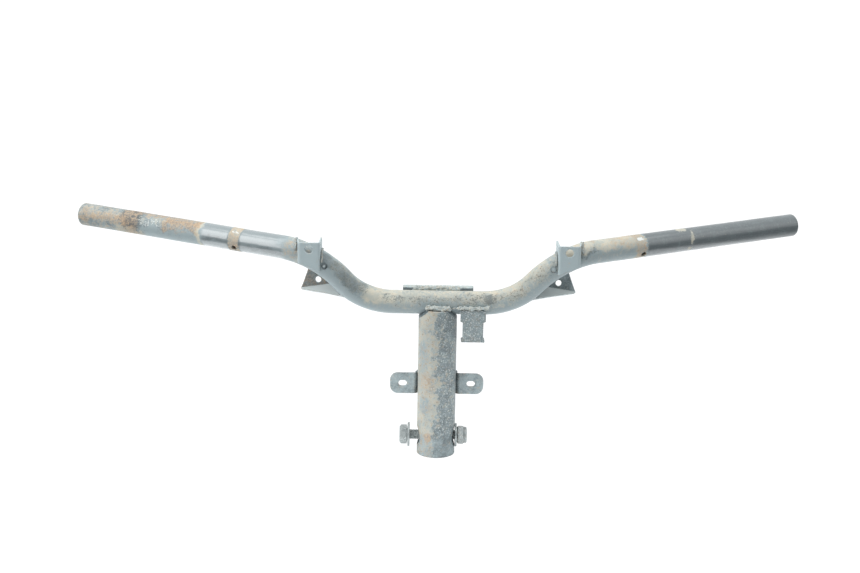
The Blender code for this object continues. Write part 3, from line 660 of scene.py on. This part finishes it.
def paint_bar(mesh):
    """Wear and some painted light and shade, laid zone by zone: by x and the distance along
    from the bar's middle, by the distance t from its nearer end, and by the angle phi, 0 in
    front and 90 on top."""
    co, s, phi = bar_coordinates(mesh)
    x, along = co[:, 0], np.abs(s)
    t = HALF_LENGTH - along
    left, right = s < 0, s >= 0
    wander = field(co, 0.012, 3.0, 3)
    ragged = field(co, 0.005, 4.0, 3)
    phi_w = phi + 20 * wander + 9 * ragged
    t_w = t + 0.004 * wander + 0.0016 * ragged
    crown = step_up(phi_w, -6, 30) * (1 - step_up(phi_w, 150, 190))
    masks = {name: np.full(len(co), start) for name, start in BAR_WEAR.items()}

    def lay(zone, **amounts):
        """Adds to the named masks inside a zone."""
        for name, amount in amounts.items():
            masks[name] += zone * amount

    def turned(low, high, soft):
        return band(phi_w, low, high, soft)

    def inward(low, high, soft):
        return band(t_w, low, high, soft)

    # middle and risers: cream dust above; below, bare grey paint made lighter as painted light
    # from the floor
    body = step_up(t, 0.262, 0.282)
    slope = step_up(phi_w, -36, 28) * (1 - step_up(phi_w, 150, 200))
    speckled = np.maximum(turned(-6, 34, 14) * band(x, -0.050, 0.022, 0.014),
                          turned(5, 60, 14) * band(x, 0.028, 0.046, 0.010))
    # painted light: the underside's paint is lightened, 0.20 more fade where it faces down
    lay(body, fade=0.20 * (1 - slope), dust=0.13 + 0.42 * slope, rust=0.18 * crown,
        pit=0.16 * slope + 0.27 * speckled, chip=0.10 * speckled)
    lay(body * band(x, -0.070, -0.030, 0.008) * turned(-20, 50, 12), dust=0.10)
    # painted shade: the top of the middle gets less dust and darker paint, so it reads darker
    # under the top lamp
    lay(body * band(x, -0.014, 0.024, 0.008), dust=-0.10)
    lay(body * band(x, -0.030, 0.050, 0.012) * turned(22, 90, 14), fade=-0.30)
    # left riser: dark blotches on the upper front
    riser = left * band(along, 0.078, 0.132, 0.012)
    lay(riser, dust=-0.22, rust=-0.20)
    lay(riser * turned(14, 62, 28), fade=-0.40, pit=0.28)
    lay(left * band(along, 0.045, 0.072, 0.006) * turned(5, 50, 10), dust=0.16)
    # right riser: tan with orange, and pitted along the upper front
    lay(right * band(along, 0.060, 0.160, 0.012) * crown, rust=0.10)
    lay(right * band(along, 0.050, 0.158, 0.010) * turned(2, 42, 14), pit=0.24, fade=-0.22)
    # seen through the bracket holes
    for side, sign, rust, chip in ((left, -1, 0.75, 0.05), (right, 1, 0.05, 0.45)):
        behind = patch(co, (sign * 0.1200, -0.0300, 0.2020), (0.0055, 0.012, 0.0050))
        lay(side * behind, dust=0.6, rust=rust, chip=chip)

    # left grip: rusty outer part
    outer = left * (1 - step_up(t_w, 0.142, 0.1445))
    below = (1 - step_up(phi_w, -14, 12)) * step_up(t_w, 0.068, 0.084)
    lay(outer, fade=-0.30 * (1 - below), dust=0.24 + 0.06 * crown, rust=0.30, pit=0.16)
    lay(outer * below, dust=-0.34, rust=-0.36)
    lay(outer * turned(-6, 34, 14) * inward(0.008, 0.054, 0.008), rust=0.26, dust=0.14)
    lay(outer * inward(0.056, 0.072, 0.006), rust=0.20)
    lay(outer * inward(0.056, 0.072, 0.008), fade=-0.55)
    lay(outer * turned(-20, 52, 12) * inward(0.076, 0.099, 0.008), rust=-0.34)
    lay(outer * turned(6, 40, 10) * inward(0.074, 0.099, 0.006), chip=0.36)
    lay(outer * turned(48, 120, 14) * inward(0.082, 0.142, 0.008), rust=0.24)
    lay(outer * turned(0, 60, 14) * inward(0.104, 0.142, 0.008), rust=0.24)
    lay(outer * turned(-80, -30, 14) * inward(0.050, 0.078, 0.010), dust=0.30)
    lay(left * inward(0.1410, 0.1460, 0.0012), dust=0.7, rust=0.12)
    # left grip: glossy inner part, with a painted dark reflection band a little below its
    # middle
    shiny = left * band(t, 0.1490, 0.236, 0.003)
    shiny *= 1 - step_up(t_w, 0.222, 0.244) * step_up(phi_w, 0, 30)
    # painted reflection: paint darkened further from phi -20 to -8, a dark reflection band
    lay(shiny, gloss=0.66, fade=-0.38 - 0.24 * turned(-20, -8, 8), dust=-0.40, rust=-0.40,
        pit=-0.40, chip=-0.30)
    lay(left * inward(0.238, 0.262, 0.006), dust=0.28, rust=0.36 * turned(-30, 40, 12))
    # right grip: dark and half glossy, with cream marks and a cream inner part
    dark = right * (1 - step_up(t, 0.178, 0.182))
    lay(dark, gloss=0.44, fade=-0.78, chip=0.06,
        dust=0.10 * turned(10, 60, 14) * inward(0.070, 0.140, 0.02) - 0.12)
    lay(right * inward(0.1270, 0.1300, 0.0010) * step_up(ragged, -0.5, 0.3),
        dust=0.75, rust=0.15)
    lay(right * inward(0.1335, 0.1395, 0.003) * step_up(phi_w, 40, 62), dust=0.75, rust=0.15)
    lay(right * inward(0.194, 0.268, 0.004), dust=0.16 + 0.44 * crown,
        rust=(0.20 + 0.18 * inward(0.195, 0.215, 0.01)) * crown, pit=0.26 * turned(-16, 12, 12))
    # rusty bands at the switch holes, each with a bright glint
    for side, near, far in ((left, 0.178, 0.190), (right, 0.181, 0.193)):
        ring = side * band(t + 0.0008 * wander, near, far, 0.0010)
        for name, value in (("dust", 0.56 + 0.14 * crown), ("rust", 0.48), ("pit", 0.22),
                            ("gloss", 0.0)):
            masks[name] += ring * (value - masks[name])
        middle = (near + far) / 2
        glint = band(t + 0.0006 * ragged, middle - 0.0040, middle + 0.0035, 0.0008)
        lay(side * glint * band(phi + 8 * ragged, 40, 49, 5), chip=0.78)
    masks["gloss"] = np.clip(masks["gloss"], 0, 1)
    give(mesh, **masks)


# ---------------------------------------------------------------- stem

def stem_mesh():
    """The stem's skin, with its outer wall made truly round and then faintly dented."""
    mesh = remeshed("stem_tube", STEM_VOXEL)
    co, no = points_of(mesh), normals_of(mesh)
    r = np.hypot(co[:, 0], co[:, 1])
    radial = (no[:, 0] * co[:, 0] + no[:, 1] * co[:, 1]) / np.maximum(r, 1e-6)
    skin = (np.abs(r - STEM_RADIUS) < 0.0003) & (radial > 0.95)
    scale = np.where(skin, STEM_RADIUS / np.maximum(r, 1e-6), 1)
    co[:, 0] *= scale
    co[:, 1] *= scale
    dents = field(co, 0.010, 5.0, 3) - 0.3
    co += no * (dents * STEM_DENT)[:, None]
    set_points(mesh, co)
    return smooth(mesh)


def paint_stem(mesh):
    """Cream on the left of its front, pitted grey on the right, darker at the foot, and
    darkened at its top corners under the bar with grime and painted shade.
    """
    co = points_of(mesh)
    wander = field(co, 0.016, 6.0, 4)
    ragged = field(co, 0.006, 7.0, 4)
    x = co[:, 0] + 0.005 * wander + 0.0045 * ragged
    z = co[:, 2]
    ahead = step_up(-co[:, 1], -0.004, 0.002)
    tan = (1 - step_up(x, -0.0035, 0.0015)) * ahead
    worn = np.maximum(patch(co, (-0.013, -0.012, 0.100), (0.007, 0.012, 0.022)),
                      patch(co, (-0.012, -0.014, 0.052), (0.008, 0.012, 0.012)))
    low = 1 - step_up(z + 0.006 * wander, 0.012, 0.026)
    edge = edge_of(mesh, 3)
    # grime and painted shade: dark paint and pits at the stem's top corners under the bar,
    # without dust, rust or chips
    slit_grime_and_shade = step_up(z + np.abs(co[:, 0]), SLIT_LINE - 0.0016, SLIT_LINE - 0.0006)
    dust = 0.28 + 0.28 * tan - 0.20 * tan * worn - 0.20 * low + 0.20 * (1 - ahead)
    rust = 0.14 + 0.18 * tan + 0.42 * patch(co, (-0.008, -0.016, 0.020), (0.005, 0.01, 0.006))
    rust += 0.18 * patch(co, (-0.009, -0.015, 0.074), (0.012, 0.012, 0.014)) + 0.30 * edge
    chip = 0.20 + 0.10 * (1 - tan) * (1 - low) - 0.16 * low
    pit = 0.24 + 0.10 * tan
    fade = 0.55 + 0.32 * tan - 0.04 * low
    give(mesh, fade=fade - slit_grime_and_shade, dust=dust * (1 - slit_grime_and_shade), rust=rust * (1 - slit_grime_and_shade),
         pit=pit + 0.8 * slit_grime_and_shade, chip=chip * (1 - slit_grime_and_shade), gloss=0.30)


# ---------------------------------------------------------------- sheet parts

def sheet_mesh(node, seed):
    """A plate's or bracket's skin, faintly dented."""
    mesh = remeshed(node, SHEET_VOXEL)
    co, no = points_of(mesh), normals_of(mesh)
    dents = field(co, 0.012, seed, 3) - 0.3
    set_points(mesh, co + no * (dents * SHEET_DENT)[:, None])
    return smooth(mesh)


def paint_sheet(mesh, fade=0.7, dust=0.2, rust=0.12, pit=0.1, chip=0.03, gloss=0.35,
                edge_dust=0.0, edge_rust=0.0, edge_chip=0.0):
    """Even wear over a whole piece, with more of it along its edges."""
    edge = edge_of(mesh)
    give(mesh, fade=fade, dust=dust + edge_dust * edge, rust=rust + edge_rust * edge,
         pit=pit, chip=chip + edge_chip * edge, gloss=gloss)


def paint_plate(mesh):
    """Dark at its ends, with a pale crust over its middle and painted light on its upward
    faces.
    """
    co, no = points_of(mesh), normals_of(mesh)
    ragged = field(co, 0.005, 31.0, 3)
    crust = band(co[:, 0] + 0.004 * ragged, -0.022, 0.021, 0.004)
    # painted light: upward faces are painted pale and partly bare, as if lit from above
    above = step_up(no[:, 2], 0.4, 0.8)
    behind = step_up(no[:, 1], 0.2, 0.8)
    pale = np.maximum(np.maximum(crust, above), behind * 0.8)
    give(mesh, fade=0.95 * pale, dust=0.44 * pale, rust=0.05 + 0.12 * crust,
         pit=0.55 * (1 - pale) + 0.34 * crust, chip=0.12 * above + 0.30 * crust, gloss=0.2)


def paint_gusset(mesh, side):
    """The lower flange painted pale and near bare as painted light, and a dark web, browner on
    the left.
    """
    no = normals_of(mesh)
    # painted light: faces turned up or down, the flange, are painted pale and near bare
    flange = step_up(np.abs(no[:, 2]), 0.25, 0.55)
    edge = edge_of(mesh)
    brown = 0.42 if side == "left" else 0.12
    give(mesh, fade=0.50 + 1.4 * flange, dust=0.08 - 0.30 * flange,
         rust=brown * (1 - flange) + 0.30 * edge * (1 - flange), pit=0.22 - 0.5 * flange,
         chip=0.04 + 1.0 * flange, gloss=0.25)


# ---------------------------------------------------------------- welds

def beaded(node, size, spacing, seed):
    """Round lumps laid over a weld's CAD skin, as (centre, size in x, y and z)."""
    picker = np.random.default_rng(seed)
    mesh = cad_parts[node].data
    mesh.calc_loop_triangles()
    co = points_of(mesh)
    corners = np.array([tri.vertices[:] for tri in mesh.loop_triangles])
    a, b, c = (co[corners[:, k]] for k in range(3))
    cross = np.cross(b - a, c - a)
    area = np.linalg.norm(cross, axis=1) / 2
    count = int(area.sum() / spacing ** 2)
    which = picker.choice(len(area), count, p=area / area.sum())
    u, v = picker.random(count), picker.random(count)
    fold = u + v > 1
    u[fold], v[fold] = 1 - u[fold], 1 - v[fold]
    spots = a[which] + (b - a)[which] * u[:, None] + (c - a)[which] * v[:, None]
    inward = -cross[which] / np.maximum(np.linalg.norm(cross[which], axis=1)[:, None], 1e-12)
    sizes = size * picker.uniform(0.55, 1.35, count)
    spots = spots + inward * (sizes * picker.uniform(0.35, 0.95, count))[:, None]
    return [(tuple(spot), (r, r * stretch, r * squeeze))
            for spot, r, stretch, squeeze in zip(spots, sizes, picker.uniform(0.8, 1.25, count),
                                                 picker.uniform(0.8, 1.25, count))]


def weld_mesh(node, size, extra, seed, inset, swing):
    """A hand weld: an uneven bead of overlapping lumps, rough between them."""
    lumps = beaded(node, size, size * 1.15, seed) + list(extra)
    mesh = remeshed(node, WELD_VOXEL, lumps, soften=3)
    co, no = points_of(mesh), normals_of(mesh)
    swell = field(co, 0.0042, seed + 1.0, 2) * swing - inset
    rough = field(co, 0.0018, seed + 3.0, 3) * 0.00026
    set_points(mesh, co + no * (swell + rough)[:, None])
    return smooth(mesh)


# ---------------------------------------------------------------- clamp parts

def hex_limit(angle):
    """The hexagon's radius at an angle."""
    sector = math.radians(60)
    local = (angle + sector / 2) % sector - sector / 2
    return HEX_FLAT / math.cos(local)


def clamp_ring(x, radius_at):
    """Vertices round the clamp's axis, each with the radius that its angle gives."""
    ring = []
    for k in range(CLAMP_SIDES):
        angle = math.tau * k / CLAMP_SIDES
        radius = radius_at(angle)
        ring.append((x, -radius * math.sin(angle), radius * math.cos(angle)))
    return ring


def revolved(node, rings, shape=None):
    """A closed skin from (x, radius) rings; shape(angle) caps each radius."""
    verts = []
    for x, limit in rings:
        verts += clamp_ring(x, lambda angle: min(limit, shape(angle)) if shape else limit)
    return mesh_of(node, verts, ring_faces(len(rings), CLAMP_SIDES))


def on_axis(mesh, x, turn=0.0):
    """The mesh moved out along the clamp's axis and turned about it."""
    mesh.transform(Matrix.Translation((x, 0, CLAMP_Z)) @ Matrix.Rotation(turn, 4, "X"))
    return mesh


def ramp(start, end, low, high, steps, first=0):
    """(x, radius) rings in even steps from (start, low) to (end, high)."""
    return [(start + (end - start) * i / steps, low + (high - low) * i / steps)
            for i in range(first, steps + 1)]


def bolt_mesh():
    """A hexagon head with a turned chamfer, and a shank with a real M10 helix."""
    back = -BOLT_HEAD_LENGTH
    rings = [(back, 0.00001), (back, 0.0030), (back + 0.00002, HEX_FLAT * 0.93)]
    rings += ramp(back + 0.0003, back + 0.0015, HEX_FLAT * 0.955, HEX_CORNER, 6)
    rings += [(back * 0.6, HEX_CORNER), (back * 0.35, HEX_CORNER), (-0.0007, HEX_CORNER),
              (-0.0004, HEX_CORNER - 0.0003), (-0.00035, HEX_FLAT * 0.97),
              (-0.00002, HEX_FLAT * 0.95), (0.0, HEX_FLAT * 0.93), (0.0, 0.0050),
              (0.0004, 0.0046)]
    verts = []
    for x, limit in rings:
        verts += clamp_ring(x, lambda angle: min(limit, hex_limit(angle)))
    steps = int(BOLT_LENGTH / (PITCH / THREAD_RINGS))
    for i in range(steps + 1):
        x = THREAD_START + (BOLT_LENGTH - THREAD_START) * i / steps
        depth = THREAD_DEPTH * step_up(x, 0.0010, 0.0028)
        tip = 1 - step_up(x, BOLT_LENGTH - 0.0012, BOLT_LENGTH) * 0.20

        def thread(angle):
            turn = (x / PITCH - angle / math.tau) % 1.0
            ridge = min(max((abs(turn * 2 - 1) - 0.08) / 0.80, 0), 1)
            return (BOLT_RADIUS - depth * (1 - ridge)) * tip

        verts += clamp_ring(x, thread)
    verts += [(BOLT_LENGTH, 0, 0)] * CLAMP_SIDES
    faces = ring_faces(len(verts) // CLAMP_SIDES, CLAMP_SIDES, closed=False)
    mesh = mesh_of("clamp_bolt", verts, faces)
    work = bmesh.new()
    work.from_mesh(mesh)
    bmesh.ops.remove_doubles(work, verts=work.verts, dist=0.00002)
    bmesh.ops.recalc_face_normals(work, faces=work.faces)
    work.to_mesh(mesh)
    work.free()
    return on_axis(mesh, BOLT_UNDER_HEAD_X, HEAD_TURN)


def nut_mesh():
    """A hexagon, chamfered at both ends, with a rounded collar and an open bore."""
    total = NUT_LENGTH + NUT_COLLAR_LENGTH
    rings = [(0.0, HEX_FLAT * 0.92), (0.0003, HEX_FLAT * 0.96)]
    rings += ramp(0.0003, 0.0012, HEX_FLAT * 0.96, HEX_CORNER, 5, first=1)
    rings += [(0.0030, HEX_CORNER), (0.0045, HEX_CORNER)]
    rings += ramp(NUT_LENGTH - 0.0014, NUT_LENGTH - 0.0002, HEX_CORNER, HEX_FLAT * 0.95, 5)
    rings += [(NUT_LENGTH, NUT_COLLAR_RADIUS + 0.0003),
              (NUT_LENGTH + 0.0002, NUT_COLLAR_RADIUS)]
    for i in range(7):
        turn = math.pi / 2 * i / 6
        rings.append((total + NUT_COLLAR_ROUND * (math.sin(turn) - 1),
                      NUT_COLLAR_RADIUS + NUT_COLLAR_ROUND * (math.cos(turn) - 1)))
    rings += [(total, NUT_BORE + 0.0004), (total - 0.0005, NUT_BORE),
              (0.0005, NUT_BORE), (0.0, NUT_BORE + 0.0005)]
    low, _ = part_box("clamp_nut")
    return on_axis(revolved("clamp_nut", rings, hex_limit), low.x, -HEAD_TURN)


def washer_mesh(node, radius):
    """A flat ring with rounded outer edges."""
    low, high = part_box(node)
    thick = high.x - low.x
    soft = WASHER_ROUND
    rings = [(0.0, WASHER_BORE + 0.0002), (0.0, radius - soft)]
    rings += [(soft * (1 - math.cos(a)), radius - soft + soft * math.sin(a))
              for a in (0.4, 0.8, 1.2, math.pi / 2)]
    rings += [(thick - soft * (1 - math.sin(a)), radius - soft + soft * math.cos(a))
              for a in (0.0, 0.4, 0.8, 1.2)]
    rings += [(thick, radius - soft), (thick, WASHER_BORE + 0.0002),
              (thick - 0.0002, WASHER_BORE), (0.0002, WASHER_BORE)]
    return on_axis(revolved(node, rings), low.x)


def sharp_smooth(mesh):
    mesh.shade_smooth()
    mesh.set_sharp_from_angle(angle=SHARP_ANGLE)
    return mesh


# ---------------------------------------------------------------- build

tube_paint = worn_paint("worn_tube_paint")
bracket_paint = worn_paint("bracket_paint", 0.8, BRACKET_WORN)
weld_metal = worn_paint("weld_bead", 0.55)
zinc = plated("zinc_plate", ZINC, ZINC_DARK)

mesh = bar_mesh()
paint_bar(mesh)
finish_piece("handlebar_tube", sharp_smooth(mesh), "frame", "worn_tube_paint", tube_paint)

mesh = stem_mesh()
paint_stem(mesh)
finish_piece("stem_tube", mesh, "frame", "worn_tube_paint", tube_paint)

mesh = sheet_mesh("centre_plate", seed=11)
paint_plate(mesh)
finish_piece("centre_plate", mesh, "frame", "bracket_paint", bracket_paint)

mesh = sheet_mesh("cable_tab", seed=12)
lip = 1 - step_up(points_of(mesh)[:, 2], 0.1063, 0.1078)
paint_sheet(mesh, fade=0.72, dust=0.30, rust=0.18 + 0.35 * lip, pit=0.44, chip=0.36,
            gloss=0.2, edge_rust=0.3)
finish_piece("cable_tab", mesh, "frame", "bracket_paint", tube_paint)

mesh = sheet_mesh("stem_ear_strap", seed=13)
co = points_of(mesh)
shade = 1 - step_up(np.abs(co[:, 0]), 0.0185, 0.0235)
shade *= 1 - step_up(co[:, 1], 0.004, 0.008)
paint_sheet(mesh, fade=0.70 - 0.5 * shade, dust=0.20, rust=0.14, pit=0.10, gloss=0.3,
            edge_rust=0.40)
finish_piece("stem_ear_strap", mesh, "frame", "bracket_paint", bracket_paint)

for side in ("left", "right"):
    mesh = sheet_mesh(f"upper_bracket_{side}", seed=14)
    paint_sheet(mesh, fade=1.35, dust=0.14, rust=0.04, pit=0.0, gloss=0.3,
                edge_dust=0.45, edge_rust=0.30)
    finish_piece(f"upper_bracket_{side}", mesh, "frame", "bracket_paint", bracket_paint)

    mesh = sheet_mesh(f"lower_bracket_{side}", seed=15)
    paint_gusset(mesh, side)
    finish_piece(f"lower_bracket_{side}", mesh, "frame", "bracket_paint", bracket_paint)

    mesh = smooth(remeshed(f"plug_weld_{side}", PLUG_VOXEL))
    co = points_of(mesh)
    rim = step_up(np.linalg.norm(co - co.mean(0), axis=1), 0.0013, 0.0020)
    rim *= 1.0 if side == "left" else 0.3
    paint_sheet(mesh, fade=1.0 - rim, dust=0.3 * (1 - rim), rust=0.1, pit=0.6 * rim,
                chip=0.3 * (1 - rim), gloss=0.1)
    finish_piece(f"plug_weld_{side}", mesh, "frame", "weld_bead", weld_metal)

# Lumps are (centre, size in x, y and z). A weld is (the size of its lumps, extra lumps,
# how far its skin is drawn in, how far it swells and shrinks).
STEM_LUMPS = [((-0.0100, -0.0120, 0.1462), (0.0028, 0.0014, 0.0020)),
              ((-0.0062, -0.0126, 0.1466), (0.0024, 0.0013, 0.0018)),
              ((-0.0030, -0.0124, 0.1456), (0.0022, 0.0012, 0.0014)),
              ((0.0122, -0.0103, 0.1450), (0.0020, 0.0017, 0.0015)),
              ((0.0140, -0.0104, 0.1457), (0.0018, 0.0016, 0.0012)),
              ((0.0160, -0.0104, 0.1458), (0.0020, 0.0016, 0.0013))]
TAB_LUMPS = [((0.0380, -0.0132, 0.1470), (0.0032, 0.0013, 0.0022)),
             ((0.0420, -0.0130, 0.1462), (0.0024, 0.0013, 0.0018))]
WELDS = {
    "weld_stem_front": (0.0011, STEM_LUMPS, 0.00045, 0.0012),
    "weld_stem_rear": (0.0010, [], 0.00025, 0.0006),
    "weld_centre_plate": (0.0011, [], 0.00025, 0.0006),
    "weld_cable_tab": (0.0011, TAB_LUMPS, 0.00045, 0.0012),
}
for side in ("left", "right"):
    WELDS[f"weld_upper_bracket_{side}_inner"] = (0.0006, [], 0.00050, 0.0004)
    WELDS[f"weld_upper_bracket_{side}_outer"] = (0.0006, [], 0.00050, 0.0004)
    WELDS[f"weld_lower_bracket_{side}"] = (0.0008, [], 0.00025, 0.0006)
    WELDS[f"weld_ear_strap_{side}"] = (0.0006, [], 0.00020, 0.0004)
for seed, (name, (size, extra, inset, swing)) in enumerate(WELDS.items()):
    mesh = weld_mesh(name, size, extra, 20 + seed, inset, swing)
    if "bracket" in name:
        paint_sheet(mesh, fade=0.85, dust=0.34, rust=0.30, pit=0.24, gloss=0.1)
    elif "strap" in name:
        paint_sheet(mesh, fade=0.6, dust=0.20, rust=0.16, pit=0.20, gloss=0.1)
    else:
        paint_sheet(mesh, fade=0.95, dust=0.48, rust=0.20, pit=0.34, chip=0.20, gloss=0.1,
                    edge_chip=0.24)
    finish_piece(name, mesh, "frame", "weld_bead", weld_metal)

mesh = bolt_mesh()
paint_sheet(mesh, rust=0.15, chip=0.1, edge_chip=0.4)
finish_piece("clamp_bolt", sharp_smooth(mesh), "bolt", "zinc_plate", zinc)
mesh = nut_mesh()
paint_sheet(mesh, rust=0.34, chip=0.05, edge_chip=0.4)
finish_piece("clamp_nut", sharp_smooth(mesh), "nut", "zinc_plate", zinc)
for node, radius, body in (("clamp_bolt_washer", BOLT_WASHER_RADIUS, "bolt_washer"),
                           ("clamp_nut_washer", NUT_WASHER_RADIUS, "nut_washer")):
    mesh = washer_mesh(node, radius)
    paint_sheet(mesh, rust=0.2, chip=0.1, edge_chip=0.3)
    finish_piece(node, sharp_smooth(mesh), body, "zinc_plate", zinc)


# ---------------------------------------------------------------- floor, light and camera

def floor_paint():
    """White, with a faint glow that lights the handlebar from below."""
    kit = Kit("floor_white")
    kit.surface("Base Color", FLOOR_WHITE)
    kit.surface("Roughness", 0.8)
    kit.surface("Specular IOR Level", 0.2)
    kit.surface("Emission Color", FLOOR_WHITE)
    kit.surface("Emission Strength", FLOOR_GLOW)
    return kit.material


work = bmesh.new()
bmesh.ops.create_grid(work, x_segments=2, y_segments=2, size=1, matrix=FLOOR_PLACE)
floor_mesh = bpy.data.meshes.new("floor")
work.to_mesh(floor_mesh)
work.free()
floor = bpy.data.objects.new("floor", floor_mesh)
bpy.context.scene.collection.objects.link(floor)
floor.location = (0, 0, -0.0004)
floor_mesh.materials.append(floor_paint())
floor.visible_camera = False

world = bpy.data.worlds.new("studio")
bpy.context.scene.world = world
world.use_nodes = True
sky = Nodes(world.node_tree)
split = sky.add("SeparateXYZ")
sky.feed(split.inputs[0], sky.add("TexCoord").outputs["Generated"])
overhead = sky.span(split.outputs["Z"], 0.10, 0.75, smooth_step=True)
behind_camera = sky.span(split.outputs["Y"], -0.25, 0.35, smooth_step=True)
brightness = sky.math("MULTIPLY_ADD", sky.math("MAXIMUM", overhead, behind_camera),
                      SKY_RISE, SKY_LEAST)
shown = sky.math("MULTIPLY", sky.add("LightPath").outputs["Is Camera Ray"], BACKDROP)
backdrop = world.node_tree.nodes["Background"]
sky.feed(backdrop.inputs["Strength"], sky.math("MAXIMUM", brightness, shown))
sky.feed(backdrop.inputs["Color"], SKY_COLOUR)


def softbox(name, place, aim, size, power):
    light = bpy.data.lights.new(name, "AREA")
    light.shape = "RECTANGLE"
    light.size, light.size_y = size
    light.energy = power
    made = bpy.data.objects.new(name, light)
    bpy.context.scene.collection.objects.link(made)
    made.location = place
    made.rotation_euler = (Vector(aim) - Vector(place)).to_track_quat("-Z", "Y").to_euler()


softbox("top_box", (0.0, -0.25, 1.6), (0, 0, 0.12), (2.2, 1.0), 17)
softbox("left_box", (-1.20, -0.68, 0.78), (0, 0, 0.15), (1.1, 1.35), 13)
softbox("right_box", (1.6, -0.7, 0.9), (0, 0, 0.12), (1.0, 1.2), 3)

looking = Vector((math.sin(CAMERA_YAW) * math.cos(CAMERA_DOWN),
                  math.cos(CAMERA_YAW) * math.cos(CAMERA_DOWN), -math.sin(CAMERA_DOWN)))
level = Vector((math.cos(CAMERA_YAW), -math.sin(CAMERA_YAW), 0))
upright = level.cross(looking)
rightward = level * math.cos(CAMERA_ROLL) + upright * math.sin(CAMERA_ROLL)
upward = upright * math.cos(CAMERA_ROLL) - level * math.sin(CAMERA_ROLL)
lens = bpy.data.cameras.new("camera")
lens.sensor_width = 36
lens.lens = CAMERA_LENS
camera = bpy.data.objects.new("camera", lens)
bpy.context.scene.collection.objects.link(camera)
camera.matrix_world = Matrix.Translation(CAMERA_PLACE) @ Matrix(
    (rightward, upward, -looking)).transposed().to_4x4()
bpy.context.scene.camera = camera
bpy.context.scene.view_settings.view_transform = "Standard"
